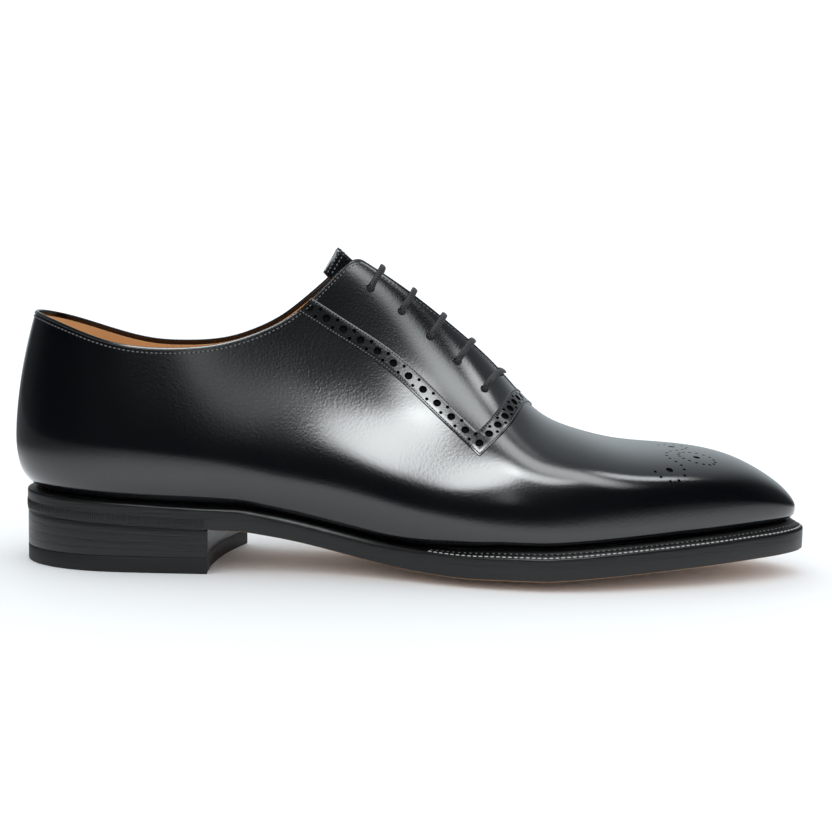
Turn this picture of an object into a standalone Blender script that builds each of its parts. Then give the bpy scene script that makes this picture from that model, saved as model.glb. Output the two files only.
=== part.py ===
"""Right-foot brogue oxford: plain toe, brogued lace panel, welted leather sole, stacked heel.

Lengths are millimetres in the maker's frame: x from the back of the heel to the toe, y towards the
inner side of the foot, z up from the floor. Meshes are written in metres about the footprint's centre.
"""
import math
from collections import namedtuple

import bmesh
import bpy
import numpy as np
from mathutils import Vector

MM = 0.001
WELD = 0.00001            # metres
OUTER = -1
INNER = 1
SIDES = (OUTER, INNER)

# Plan
HEEL_WIDEST = 48.0        # behind this station the plan is a half oval
SOLE_BACK = 4.2
SOLE_TIP = 306.4
LAST_TIP = 302.9          # foremost point of the upper
HEEL_OVAL = 2.15          # roundness of the half oval, 2 is an ellipse

# Upper
WALL = 1.8
GAP = 0.3                 # clearance between pieces that lie on each other
BACK_GIRTH_Z = 47.5       # fullest point of the heel's back curve
BACK_TUCK = 5.2           # from there in to the feather edge
BACK_LEAN = 7.5           # from there in to the topline
BACK_LEAN_POWER = 1.8
TUCK_START = math.radians(35)
SKIN_STEPS = 48           # chords that measure round a section
THROAT_END = 199.0
FACING_ROUND = 4.5        # corner between topline and facing edge

# Sole
OUTSOLE_THICK = 5.0
WELT_THICK = 2.8          # at its edge
WELT_MARGIN = 5.0         # over which its upper face rises to the upper
WELT_WIDTH = 11.0
FLAT_BACK = 178.0         # forefoot patch that stands on the floor
FLAT_FRONT = 202.0
FLAT_SHARE = 0.42         # of the half width
TOE_SPRING = 10.0
TOE_SPRING_POWER = 1.12
SEAT_FRONT = 87.0         # the heel seat is flat up to here
SEAT_FRONT_Z = 15.9
SEAT_SLOPE = -0.046
INSOLE_THICK = 2.5
INSOLE_INSET = 2.6        # from the feather edge

# Heel
TOP_PIECE_THICK = 6.0
HEEL_INSET = 0.2
BREAST_OUTER_X = 78.3
BREAST_INNER_X = 85.5
BREAST_HOLLOW = 3.2

# Lace panel
EYELET_RADIUS = 1.7
BAR_SLANT = 0.39          # how far a bar falls back as it leaves the ridge
BAR_ROUND = 4.0
LACE_RADIUS = 1.15
LACE_BEND = 1.6
LACE_UNDER = WALL + GAP + LACE_RADIUS + 0.1
LACE_OVER = GAP + LACE_RADIUS + 0.1
TONGUE_THICK = 1.6
TONGUE_TOP_X = 124.2
TONGUE_END_X = 207.0

# Brogue band
BAND_HALF = 3.7
BAND_THICK = 0.7
BAND_STEP = 4.5
BAND_END_SKEW = 1.0       # its ends lean to lie along the topline

# Sections of the upper. ridge_z behind the throat is the height the section would close at.
# The last three columns shape a section: rise of the wall, fullness of the flank, breadth of the ridge.
Section = namedtuple(
    "Section", "x ridge_z ridge_y girth_z outer_w inner_w outer_tuck inner_tuck wall flank ridge")
SECTIONS = (
    Section(48.0, 150.0, 0.0, 45.5, 33.5, 33.0, 3.4, 3.2, 0.10, 0.18, 0.45),
    Section(65.0, 146.5, 0.0, 43.8, 33.3, 32.4, 3.4, 3.6, 0.12, 0.11, 0.45),
    Section(85.0, 141.0, 0.1, 41.2, 32.8, 30.8, 3.8, 5.0, 0.15, 0.01, 0.44),
    Section(105.0, 134.6, 0.3, 37.2, 33.0, 29.6, 4.5, 6.4, 0.19, -0.08, 0.40),
    Section(128.0, 122.0, 0.7, 33.0, 35.2, 30.4, 5.0, 7.8, 0.23, -0.14, 0.33),
    Section(148.0, 108.9, 1.4, 28.0, 39.0, 33.8, 4.2, 6.6, 0.26, -0.14, 0.27),
    Section(168.0, 93.0, 2.6, 24.0, 42.6, 39.2, 2.8, 4.4, 0.34, -0.03, 0.26),
    Section(185.0, 77.6, 4.2, 21.4, 44.3, 43.2, 1.9, 2.8, 0.46, 0.18, 0.32),
    Section(200.0, 61.7, 6.5, 20.6, 44.6, 45.2, 1.3, 1.6, 0.57, 0.48, 0.41),
    Section(216.0, 53.3, 9.2, 21.2, 42.8, 45.2, 1.1, 1.2, 0.64, 0.74, 0.45),
    Section(233.0, 48.9, 12.0, 23.0, 39.4, 42.6, 1.1, 1.1, 0.67, 0.87, 0.46),
    Section(250.0, 47.4, 13.8, 25.2, 34.4, 37.4, 1.1, 1.1, 0.67, 0.89, 0.46),
    Section(266.0, 46.4, 12.8, 27.4, 28.8, 31.0, 1.1, 1.1, 0.60, 0.85, 0.46),
    Section(279.5, 43.6, 8.8, 28.6, 23.0, 24.2, 1.1, 1.1, 0.52, 0.75, 0.45),
    Section(290.0, 38.6, 4.4, 28.4, 17.3, 17.9, 1.0, 1.0, 0.45, 0.63, 0.44),
    Section(297.7, 33.1, 1.8, 27.0, 11.3, 11.5, 1.0, 1.0, 0.41, 0.55, 0.41),
    Section(301.6, 28.6, 0.4, 25.8, 5.7, 5.8, 0.9, 0.9, 0.41, 0.55, 0.41),
    Section(302.9, 25.0, 0.0, 25.0, 0.0, 0.0, 0.9, 0.9, 0.41, 0.55, 0.41),
)

Topline = namedtuple("Topline", "x outer_z inner_z")
TOPLINE = (
    Topline(7.5, 95.7, 95.7),
    Topline(13.0, 94.2, 94.2),
    Topline(26.7, 89.7, 89.8),
    Topline(36.6, 86.4, 86.8),
    Topline(48.0, 83.9, 84.6),
    Topline(58.0, 83.2, 84.2),
    Topline(70.0, 83.5, 84.8),
    Topline(80.0, 84.8, 86.6),
    Topline(90.0, 87.6, 90.2),
    Topline(100.0, 91.9, 95.5),
    Topline(108.0, 96.8, 101.6),
    Topline(115.0, 103.0, 107.6),
    Topline(122.0, 110.6, 113.8),
    Topline(128.7, 117.6, 119.0),
    Topline(134.0, 122.8, 123.4),
)

Throat = namedtuple("Throat", "x half_gap")
THROAT = (
    Throat(128.0, 3.4),
    Throat(150.0, 2.6),
    Throat(175.0, 2.1),
    Throat(193.0, 1.5),
    Throat(199.0, 0.0),
)

# crown lifts the underside's edges, bevel rounds the welt's corner, rise lifts its face to the upper.
SoleRow = namedtuple("SoleRow", "x outer_w inner_w crown bevel rise")
SOLE = (
    SoleRow(48.0, 31.3, 31.0, 0.0, 0.5, 1.0),
    SoleRow(65.0, 31.5, 30.6, 0.0, 0.5, 1.0),
    SoleRow(80.0, 31.0, 28.8, 0.1, 0.7, 1.0),
    SoleRow(100.0, 29.6, 24.8, 0.7, 2.0, 0.9),
    SoleRow(120.0, 30.0, 22.4, 1.2, 2.4, 0.8),
    SoleRow(140.0, 34.0, 25.6, 1.8, 2.2, 0.9),
    SoleRow(155.0, 38.8, 31.2, 2.5, 1.2, 1.7),
    SoleRow(170.0, 43.8, 38.2, 3.2, 0.5, 2.8),
    SoleRow(185.0, 47.4, 44.6, 3.7, 0.5, 3.4),
    SoleRow(200.0, 48.9, 48.6, 3.8, 0.5, 3.6),
    SoleRow(213.0, 48.2, 49.9, 3.7, 0.5, 3.6),
    SoleRow(227.0, 45.6, 48.5, 3.5, 0.5, 3.6),
    SoleRow(241.0, 41.6, 44.8, 3.1, 0.5, 3.6),
    SoleRow(255.0, 36.8, 39.8, 2.6, 0.5, 3.6),
    SoleRow(270.0, 30.6, 32.8, 2.0, 0.5, 3.6),
    SoleRow(282.5, 24.3, 25.6, 1.4, 0.5, 3.6),
    SoleRow(292.3, 18.7, 19.4, 0.8, 0.5, 3.6),
    SoleRow(300.2, 12.5, 12.8, 0.4, 0.5, 3.6),
    SoleRow(304.6, 6.7, 6.8, 0.2, 0.5, 3.6),
    SoleRow(306.4, 0.0, 0.0, 0.0, 0.5, 3.6),
)

Waist = namedtuple("Waist", "x z")
WAIST = (
    Waist(87.0, 15.9),
    Waist(97.0, 14.4),
    Waist(108.0, 12.2),
    Waist(121.0, 9.2),
    Waist(134.0, 6.1),
    Waist(147.0, 3.3),
    Waist(160.0, 1.3),
    Waist(170.0, 0.3),
    Waist(178.0, 0.0),
)

TongueRow = namedtuple("TongueRow", "ridge_x half_width depth")
TONGUE = (
    TongueRow(124.2, 18.0, 2.7),
    TongueRow(127.5, 19.0, 3.3),
    TongueRow(132.0, 20.0, 4.1),
    TongueRow(139.0, 21.0, 4.9),
    TongueRow(160.0, 21.0, 4.9),
    TongueRow(187.0, 20.0, 4.9),
    TongueRow(207.0, 14.0, 2.8),
)

Bar = namedtuple("Bar", "ridge_x eyelet_drop")
BARS = (
    Bar(139.9, 13.9),
    Bar(152.2, 14.6),
    Bar(163.9, 16.4),
    Bar(175.3, 18.5),
    Bar(187.4, 23.2),
)

# Middle line of the band on the outer side, down from the topline to its corner, then up to the ridge.
BandRow = namedtuple("BandRow", "x drop")
BAND_LONG = (
    BandRow(111.5, 36.5),
    BandRow(124.5, 37.0),
    BandRow(139.3, 37.2),
    BandRow(151.0, 39.0),
    BandRow(162.5, 42.8),
    BandRow(170.3, 46.1),
    BandRow(177.5, 49.7),
)
BAND_SHORT = (
    BandRow(177.5, 49.7),
    BandRow(186.2, 33.4),
    BandRow(191.9, 16.5),
    BandRow(196.8, 0.0),
)


class Curve:
    """Cubic spline through points, straight at an end with no slope given."""

    def __init__(self, xs, ys, first=None, last=None):
        self.xs = np.asarray(xs, float)
        self.ys = np.asarray(ys, float)
        count = len(self.xs)
        steps = np.diff(self.xs)
        rises = np.diff(self.ys) / steps
        matrix = np.zeros((count, count))
        target = np.zeros(count)
        for i in range(1, count - 1):
            matrix[i, i - 1] = steps[i]
            matrix[i, i] = 2 * (steps[i - 1] + steps[i])
            matrix[i, i + 1] = steps[i - 1]
            target[i] = 3 * (steps[i] * rises[i - 1] + steps[i - 1] * rises[i])
        ends = ((0, 1, first, rises[0]), (count - 1, count - 2, last, rises[-1]))
        for end, inner, slope, rise in ends:
            matrix[end, end] = 2.0 if slope is None else 1.0
            matrix[end, inner] = 1.0 if slope is None else 0.0
            target[end] = 3 * rise if slope is None else slope
        self.slopes = np.linalg.solve(matrix, target)

    def at(self, x):
        """Value and slope at x, held at the ends."""
        x = min(max(x, self.xs[0]), self.xs[-1])
        i = min(max(int(np.searchsorted(self.xs, x)) - 1, 0), len(self.xs) - 2)
        step = self.xs[i + 1] - self.xs[i]
        t = (x - self.xs[i]) / step
        y0, y1 = self.ys[i], self.ys[i + 1]
        m0, m1 = self.slopes[i] * step, self.slopes[i + 1] * step
        a = 2 * y0 - 2 * y1 + m0 + m1
        b = 3 * y1 - 3 * y0 - 2 * m0 - m1
        return ((a * t + b) * t + m0) * t + y0, ((3 * a * t + 2 * b) * t + m0) / step

    def __call__(self, x):
        return float(self.at(x)[0])


def tip_share(x, tip):
    """Square root of the way back from the tip, in which every width near the tip is smooth."""
    return math.sqrt(max(tip - x, 0.0) / (tip - HEEL_WIDEST))


def tip_curves(rows, tip, level):
    """One curve for each column of a table, run over tip_share; columns in level leave the heel flat."""
    shares = [tip_share(row.x, tip) for row in reversed(rows)]
    curves = {}
    for column in rows[0]._fields[1:]:
        values = [getattr(row, column) for row in reversed(rows)]
        curves[column] = Curve(shares, values, last=0.0 if column in level else None)
    return curves


def table_curve(rows, column, first=None, last=None):
    """Curve of one column over the table's first column."""
    return Curve([row[0] for row in rows], [getattr(row, column) for row in rows], first, last)


LAST = tip_curves(SECTIONS, LAST_TIP, ("outer_w", "inner_w"))
SOLE_CURVES = tip_curves(SOLE, SOLE_TIP, ("outer_w", "inner_w", "crown", "bevel", "rise"))
TOPLINE_Z = {OUTER: table_curve(TOPLINE, "outer_z"), INNER: table_curve(TOPLINE, "inner_z")}
THROAT_GAP = table_curve(THROAT, "half_gap")
WAIST_Z = table_curve(WAIST, "z", first=SEAT_SLOPE, last=0.0)
SIDE_NAME = {OUTER: "outer", INNER: "inner"}


def oval(turn):
    """Shares of length and width round the heel's half oval, turn 0 at the back and 1 at the sides."""
    angle = turn * math.pi / 2
    return abs(math.cos(angle)) ** (2 / HEEL_OVAL), abs(math.sin(angle)) ** (2 / HEEL_OVAL)


def sole_half(side, x):
    """Half width of the sole."""
    column = SOLE_CURVES[SIDE_NAME[side] + "_w"]
    if x >= HEEL_WIDEST:
        return column(tip_share(x, SOLE_TIP))
    back = min((HEEL_WIDEST - x) / (HEEL_WIDEST - SOLE_BACK), 1.0)
    return column(1.0) * (1 - back ** HEEL_OVAL) ** (1 / HEEL_OVAL)


def ground(x):
    """Height of the sole's underside on its middle line."""
    if x <= SEAT_FRONT:
        return SEAT_FRONT_Z + SEAT_SLOPE * (x - SEAT_FRONT)
    if x <= FLAT_BACK:
        return WAIST_Z(x)
    if x <= FLAT_FRONT:
        return 0.0
    return TOE_SPRING * ((x - FLAT_FRONT) / (SOLE_TIP - FLAT_FRONT)) ** TOE_SPRING_POWER


def underside(x, y):
    """Height of the sole's underside, which lifts towards its edges."""
    half = max(sole_half(INNER if y > 0 else OUTER, x), 1e-6)
    edge = max(abs(y) / half - FLAT_SHARE, 0.0) / (1 - FLAT_SHARE)
    return ground(x) + SOLE_CURVES["crown"](tip_share(x, SOLE_TIP)) * min(edge, 1.0) ** 2


def edge_distance(x, y):
    """About how far a point of the plan lies inside the sole's edge."""
    side = INNER if y > 0 else OUTER
    reach = 0.5
    lean = (sole_half(side, x + reach) - sole_half(side, x - reach)) / (2 * reach)
    across = (sole_half(side, x) - abs(y)) / math.hypot(1.0, lean)
    return max(min(across, SOLE_TIP - x, x - SOLE_BACK), 0.0)


def welt_lift(x, inset):
    """Height of the welt's upper face over its underside."""
    rise = SOLE_CURVES["rise"](tip_share(x, SOLE_TIP))
    return WELT_THICK + rise * min(inset / WELT_MARGIN, 1.0)


def welt_top(x, y):
    return underside(x, y) + OUTSOLE_THICK + GAP + welt_lift(x, edge_distance(x, y))


class Rib:
    """One section of the upper on one side: feather edge, fullest point, then a curve to the ridge."""

    def __init__(self, side, station):
        """station is a heel turn in -1..0 (back to sides), or an x ahead of the heel's widest place."""
        self.side = side
        self.heel = station < 0
        x = HEEL_WIDEST if self.heel else station
        share = tip_share(x, LAST_TIP)
        name = SIDE_NAME[side]
        self.half, half_slope = LAST[name + "_w"].at(share)
        self.girth_z = LAST["girth_z"](share)
        self.ridge = (LAST["ridge_y"](share), LAST["ridge_z"](share))
        rise = self.ridge[1] - self.girth_z
        span = side * self.half - self.ridge[0]
        middle = (1 + LAST["flank"](share)) / 2
        hold = LAST["ridge"](share) * (LAST["outer_w"](share) + LAST["inner_w"](share)) / 2
        self.poles = (
            (side * self.half, self.girth_z),
            (side * self.half, self.girth_z + LAST["wall"](share) * rise),
            (self.ridge[0] + middle * span, self.girth_z + middle * rise),
            (self.ridge[0] + side * hold, self.ridge[1]),
            self.ridge,
        )
        tuck = LAST[name + "_tuck"](share)
        self.x = x
        self.end = self.top_share()
        if self.heel:
            along, across = oval(1 + station)
            self.along, self.across = along, across
            self.rise = self.bow(self.end)[1] - self.girth_z
            self.low_z = self.girth_z + (BACK_GIRTH_Z - self.girth_z) * along
            self.top_z = TOPLINE_Z[side](HEEL_WIDEST - (HEEL_WIDEST - BACK_LEAN) * along)
            tuck += (BACK_TUCK - tuck) * along ** 2
            normal = (-along ** (HEEL_OVAL - 1) / HEEL_WIDEST, side * across ** (HEEL_OVAL - 1) / self.half)
            self.full = (HEEL_WIDEST * (1 - along), side * self.half * across)
        else:
            self.low_z = self.girth_z
            normal = (half_slope, side * 2 * share * (LAST_TIP - HEEL_WIDEST))
            self.full = (x, side * self.half)
        length = math.hypot(*normal)
        self.normal = (normal[0] / length, normal[1] / length)
        self.feather = self.inside(tuck)
        self.feather_z = max(welt_top(*self.feather), welt_top(*self.inside(tuck + WALL))) + GAP

    def inside(self, inset):
        """Point of the plan at an inset from the fullest line."""
        return (self.full[0] - self.normal[0] * inset, self.full[1] - self.normal[1] * inset)

    def bow(self, t):
        """Point (y, z) of the section's upper curve."""
        s = 1 - t
        weights = (s ** 4, 4 * s ** 3 * t, 6 * s * s * t * t, 4 * s * t ** 3, t ** 4)
        return tuple(sum(w * pole[i] for w, pole in zip(weights, self.poles)) for i in (0, 1))

    def top_share(self):
        """Place on the upper curve where the leather stops: topline, facing edge or ridge."""
        if self.x >= THROAT_END:
            return 1.0
        side = OUTER if self.heel else self.side    # at the back both halves meet
        lid = TOPLINE_Z[side](self.x)
        gap = THROAT_GAP(self.x) if self.x > THROAT[0].x else THROAT[0].half_gap
        low, high = 0.0, 1.0
        for _ in range(40):
            middle = (low + high) / 2
            y, z = self.bow(middle)
            below, beside = lid - z, abs(y - self.ridge[0]) - gap
            corner = math.hypot(max(FACING_ROUND - below, 0.0), max(FACING_ROUND - beside, 0.0))
            inside = min(below, beside) > 0 and corner < FACING_ROUND
            low, high = (middle, high) if inside else (low, middle)
        return low

    def point(self, v):
        """v runs -1 at the feather edge, 0 at the fullest point, 1 at the top edge."""
        if v < 0:
            angle = TUCK_START + (math.pi / 2 - TUCK_START) * (1 + v)
            out = (math.sin(angle) - math.sin(TUCK_START)) / (1 - math.sin(TUCK_START))
            z = self.low_z - (self.low_z - self.feather_z) * math.cos(angle) / math.cos(TUCK_START)
            plan = [a + (b - a) * out for a, b in zip(self.feather, self.full)]
            return Vector((plan[0], plan[1], z))
        y, z = self.bow(v * self.end)
        if not self.heel:
            return Vector((self.x, y, z))
        share = (z - self.girth_z) / self.rise
        reach = HEEL_WIDEST - BACK_LEAN * share ** BACK_LEAN_POWER
        level = self.low_z + share * (self.top_z - self.low_z)
        return Vector((HEEL_WIDEST - reach * self.along, y * self.across, level))

    def drops(self):
        """Places on the upper curve from the ridge down, and the way round the section to each."""
        shares = np.linspace(1.0, 0.0, SKIN_STEPS + 1)
        ys, zs = self.bow(shares)
        return shares, np.concatenate(([0.0], np.cumsum(np.hypot(np.diff(ys), np.diff(zs)))))


def skin(x, drop):
    """Point of the upper's outside, drop measured round the section from the ridge, negative outward."""
    rib = Rib(OUTER if drop < 0 else INNER, x)
    shares, travel = rib.drops()
    y, z = rib.bow(float(np.interp(abs(drop), travel, shares)))
    return Vector((x, y, z))


def facing_drop(side, x):
    """Drop of the facing's edge."""
    rib = Rib(side, x)
    shares, travel = rib.drops()
    return side * float(np.interp(1 - rib.end, 1 - shares, travel))


def skin_frame(x, drop):
    """Point, outward normal and the two directions of the skin."""
    reach = 0.4
    along = (skin(x + reach, drop) - skin(x - reach, drop)) / (2 * reach)
    round_ = (skin(x, drop + reach) - skin(x, drop - reach)) / (2 * reach)
    normal = round_.cross(along)
    if normal.z < 0:
        normal.negate()
    return skin(x, drop), normal.normalized(), along, round_


def raised(x, drop, height):
    point, normal, _, _ = skin_frame(x, drop)
    return point + normal * height


def slanted(ridge_x, drop):
    """Station of a line across the throat, square to the ridge, at a drop from it."""
    return ridge_x - BAR_SLANT * (math.hypot(drop, BAR_ROUND) - BAR_ROUND)


def spread(first, last, count):
    return [first + (last - first) * i / (count - 1) for i in range(count)]


def tip_stations(first, tip, count):
    """Stations that crowd towards the tip as the plan turns across it."""
    return [tip - (tip - first) * (1 - i / count) ** 2 for i in range(count + 1)]


FOOTPRINT = [(side, sole_half(side, x)) for side in SIDES for x in np.arange(HEEL_WIDEST, SOLE_TIP, 0.25)]
CENTRE = Vector((
    SOLE_TIP / 2,
    (max(w for s, w in FOOTPRINT if s == INNER) - max(w for s, w in FOOTPRINT if s == OUTER)) / 2,
    0.0,
))


def placed(point):
    """Maker's millimetres to the part's metres."""
    return (Vector(point) - CENTRE) * MM


def new_material(name, colour, roughness):
    material = bpy.data.materials.new(name)
    material.use_nodes = True
    shader = material.node_tree.nodes["Principled BSDF"]
    shader.inputs["Base Color"].default_value = (*colour, 1.0)
    shader.inputs["Roughness"].default_value = roughness
    material.diffuse_color = (*colour, 1.0)
    return material


def add_mesh(name, points, faces, material, collection, smooth=True):
    """Object from millimetre points; coincident ones are welded and collapsed faces dropped."""
    mesh = bpy.data.meshes.new(name)
    mesh.from_pydata([placed(p) for p in points], [], faces)
    work = bmesh.new()
    work.from_mesh(mesh)
    bmesh.ops.remove_doubles(work, verts=work.verts, dist=WELD)
    bmesh.ops.dissolve_degenerate(work, edges=work.edges, dist=WELD)
    work.to_mesh(mesh)
    work.free()
    for polygon in mesh.polygons:
        polygon.use_smooth = smooth
    mesh.materials.append(material)
    thing = bpy.data.objects.new(name, mesh)
    collection.objects.link(thing)
    return thing


def face_out(thing):
    """Turn a closed mesh's faces outward."""
    work = bmesh.new()
    work.from_mesh(thing.data)
    bmesh.ops.recalc_face_normals(work, faces=work.faces)
    work.to_mesh(thing.data)
    work.free()


def plate(name, rows, material, collection):
    """Closed plate from rows across it; each row is a list of (low point, high point)."""
    across = len(rows[0])
    points = [p for row in rows for pair in row for p in pair]
    faces = []

    def spot(i, j, k):
        return (i * across + j) * 2 + k

    for i in range(len(rows) - 1):
        for j in range(across - 1):
            faces.append((spot(i, j, 0), spot(i, j + 1, 0), spot(i + 1, j + 1, 0), spot(i + 1, j, 0)))
            faces.append((spot(i, j, 1), spot(i + 1, j, 1), spot(i + 1, j + 1, 1), spot(i, j + 1, 1)))
        for j in (0, across - 1):
            faces.append((spot(i, j, 0), spot(i + 1, j, 0), spot(i + 1, j, 1), spot(i, j, 1)))
    for i in (0, len(rows) - 1):
        for j in range(across - 1):
            faces.append((spot(i, j, 0), spot(i, j, 1), spot(i, j + 1, 1), spot(i, j + 1, 0)))
    thing = add_mesh(name, points, faces, material, collection)
    face_out(thing)
    return thing


def tube(name, loops, closed, material, collection):
    """Closed solid from loops set one after another, joined end to end or capped."""
    size = len(loops[0])
    count = len(loops)
    points = [p for loop in loops for p in loop]
    faces = []
    for i in range(count if closed else count - 1):
        for j in range(size):
            a, b = i * size, (i + 1) % count * size
            k = (j + 1) % size
            faces.append((a + j, a + k, b + k, b + j))
    if not closed:
        faces.append(tuple(range(size)))
        faces.append(tuple((count - 1) * size + j for j in range(size)))
    thing = add_mesh(name, points, faces, material, collection)
    face_out(thing)
    return thing


def apply_modifiers(thing):
    """Replace an object's mesh by its modified one."""
    bpy.context.view_layer.update()
    graph = bpy.context.evaluated_depsgraph_get()
    mesh = bpy.data.meshes.new_from_object(thing.evaluated_get(graph))
    thing.modifiers.clear()
    thing.data = mesh
    mesh.name = thing.name


def sole_stations():
    heel = [HEEL_WIDEST - (HEEL_WIDEST - SOLE_BACK) * oval(i / 7)[0] for i in range(8)]
    waist = spread(HEEL_WIDEST, SEAT_FRONT, 5)[1:] + spread(SEAT_FRONT, FLAT_BACK, 13)[1:]
    fore = spread(FLAT_BACK, FLAT_FRONT, 4)[1:] + spread(FLAT_FRONT, 280.0, 10)[1:]
    return heel + waist + fore + tip_stations(280.0, SOLE_TIP, 7)[1:]


def build_outsole(material, collection):
    shares = (-1.0, -0.85, -0.68, -FLAT_SHARE, 0.0, FLAT_SHARE, 0.68, 0.85, 1.0)
    rows = []
    for x in sole_stations():
        row = []
        for share in shares:
            y = share * sole_half(INNER if share > 0 else OUTER, x)
            low = underside(x, y)
            row.append(((x, y, low), (x, y, low + OUTSOLE_THICK)))
        rows.append(row)
    return plate("outsole", rows, material, collection)


def sole_edge(stations):
    """The sole's outline as (x, y, outward x, outward y), once round from the heel's back."""
    outer = [(x, -sole_half(OUTER, x)) for x in stations]
    inner = [(x, sole_half(INNER, x)) for x in stations]
    ring = outer + inner[-2:0:-1]
    edge = []
    for i, (x, y) in enumerate(ring):
        before, after = ring[i - 1], ring[(i + 1) % len(ring)]
        tangent = Vector((after[0] - before[0], after[1] - before[1])).normalized()
        edge.append((x, y, tangent.y, -tangent.x))
    return edge


def build_welt(material, collection):
    """Strip round the sole that rises to the upper, its outer corner rounded away in the waist."""
    loops = []
    for x, y, out_x, out_y in sole_edge(sole_stations()):
        bevel = SOLE_CURVES["bevel"](tip_share(x, SOLE_TIP))
        profile = (
            (0.0, 0.0),
            (0.0, WELT_THICK - bevel),
            (bevel, welt_lift(x, bevel)),
            (WELT_MARGIN, welt_lift(x, WELT_MARGIN)),
            (WELT_WIDTH, welt_lift(x, WELT_MARGIN)),
            (WELT_WIDTH, 0.0),
        )
        loop = []
        for inset, lift in profile:
            spot = (x - out_x * inset, y - out_y * inset)
            loop.append((*spot, underside(*spot) + OUTSOLE_THICK + GAP + lift))
        loops.append(loop)
    return tube("welt", loops, True, material, collection)


def heel_outline(turns, along, across):
    """Heel block seen from above: the sole's back end closed by a hollow breast. Counts are of points."""
    turns = spread(0.0, 1.0, turns)
    outline = []
    for side, front in ((INNER, BREAST_INNER_X), (OUTER, BREAST_OUTER_X)):
        half = [HEEL_WIDEST - (HEEL_WIDEST - SOLE_BACK - HEEL_INSET) * oval(t)[0] for t in turns]
        xs = half + spread(HEEL_WIDEST, front, along)[1:]
        run = [(x, side * (sole_half(side, max(x - HEEL_INSET, SOLE_BACK)) - HEEL_INSET)) for x in xs[1:]]
        outline.append([(xs[0], 0.0)] + run)
    inner, outer = outline
    start, stop = Vector(inner[-1]), Vector(outer[-1])
    breast = []
    for share in spread(0.0, 1.0, across)[1:-1]:
        spot = start.lerp(stop, share)
        breast.append((spot.x - BREAST_HOLLOW * (1 - (2 * share - 1) ** 2), spot.y))
    return inner + breast + outer[:0:-1]


def build_heel(stack_material, tread_material, collection):
    outline = heel_outline(10, 5, 9)
    levels = (
        ("heel_stack", stack_material, lambda x: TOP_PIECE_THICK + GAP, lambda x: ground(x) - GAP),
        ("heel_top_piece", tread_material, lambda x: 0.0, lambda x: TOP_PIECE_THICK),
    )
    for name, material, low, high in levels:
        loops = [[(x, y, level(x)) for x, y in outline] for level in (low, high)]
        tube(name, loops, False, material, collection)


def upper_stations():
    heel = [i / 7 - 1 for i in range(7)]
    collar = spread(HEEL_WIDEST, 118.0, 9) + spread(118.0, 136.0, 9)[1:]
    throat = spread(136.0, THROAT_END, 10)[1:]
    vamp = spread(THROAT_END, 282.0, 11)[1:]
    return heel + collar + throat + vamp + tip_stations(282.0, LAST_TIP, 7)[1:]


def build_upper(material, collection, cutters):
    """Lofted skin thickened inward, with the eyelet holes cut."""
    rises = (-1.0, -0.66, -0.33, 0.0) + tuple(spread(0.0, 1.0, 11)[1:])
    stations = upper_stations()
    points, faces = [], []
    for side in SIDES:
        first = len(points)
        for station in stations:
            rib = Rib(side, station)
            points.extend(rib.point(v) for v in rises)
        for i in range(len(stations) - 1):
            for j in range(len(rises) - 1):
                a = first + i * len(rises) + j
                b = a + len(rises)
                faces.append((a, b, b + 1, a + 1) if side == OUTER else (a, a + 1, b + 1, b))
    upper = add_mesh("upper", points, faces, material, collection)
    shell = upper.modifiers.new("wall", "SOLIDIFY")
    shell.thickness = WALL * MM
    shell.offset = -1
    shell.use_even_offset = True
    holes = add_eyelet_cutter(cutters)
    cut = upper.modifiers.new("eyelets", "BOOLEAN")
    cut.operation = "DIFFERENCE"
    cut.solver = "EXACT"
    cut.object = holes
    apply_modifiers(upper)
    return upper


def eyelets(side):
    """(x, drop) of the eyelets on one side, top first."""
    return [(slanted(bar.ridge_x, bar.eyelet_drop), side * bar.eyelet_drop) for bar in BARS]


def add_eyelet_cutter(cutters):
    mesh = bpy.data.meshes.new("eyelet_cutter")
    work = bmesh.new()
    for side in SIDES:
        for x, drop in eyelets(side):
            point, normal, _, _ = skin_frame(x, drop)
            turn = normal.to_track_quat("Z", "Y").to_matrix().to_4x4()
            turn.translation = placed(point - normal * WALL / 2)
            bmesh.ops.create_cone(work, cap_ends=True, segments=12, radius1=EYELET_RADIUS * MM,
                                  radius2=EYELET_RADIUS * MM, depth=3 * WALL * MM, matrix=turn)
    work.to_mesh(mesh)
    work.free()
    cutter = bpy.data.objects.new("eyelet_cutter", mesh)
    cutter.hide_render = True
    cutter.display_type = "WIRE"
    cutters.objects.link(cutter)
    return cutter


def build_insole(material, collection):
    """Plate inside the upper's feather edge."""
    rows = []
    for station in upper_stations():
        ends = []
        for side in SIDES:
            rib = Rib(side, station)
            ends.append(Vector(rib.feather) - Vector(rib.normal) * INSOLE_INSET)
        row = []
        for share in (0.0, 0.12, 0.3, 0.5, 0.7, 0.88, 1.0):
            spot = ends[0].lerp(ends[1], share)
            low = welt_top(*spot) + GAP
            row.append(((*spot, low), (*spot, low + INSOLE_THICK)))
        rows.append(row)
    return plate("insole", rows, material, collection)


def build_tongue(material, collection):
    """Curved plate under the facings, its rows slanted like the lace bars."""
    width = table_curve(TONGUE, "half_width")
    depth = table_curve(TONGUE, "depth")
    rows = []
    for ridge_x in spread(TONGUE_TOP_X, TONGUE_END_X, 17):
        row = []
        for share in spread(-1.0, 1.0, 9):
            drop = share * width(ridge_x)
            x = slanted(ridge_x, drop)
            row.append((raised(x, drop, -depth(ridge_x) - TONGUE_THICK), raised(x, drop, -depth(ridge_x))))
        rows.append(row)
    return plate("tongue", rows, material, collection)


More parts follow.
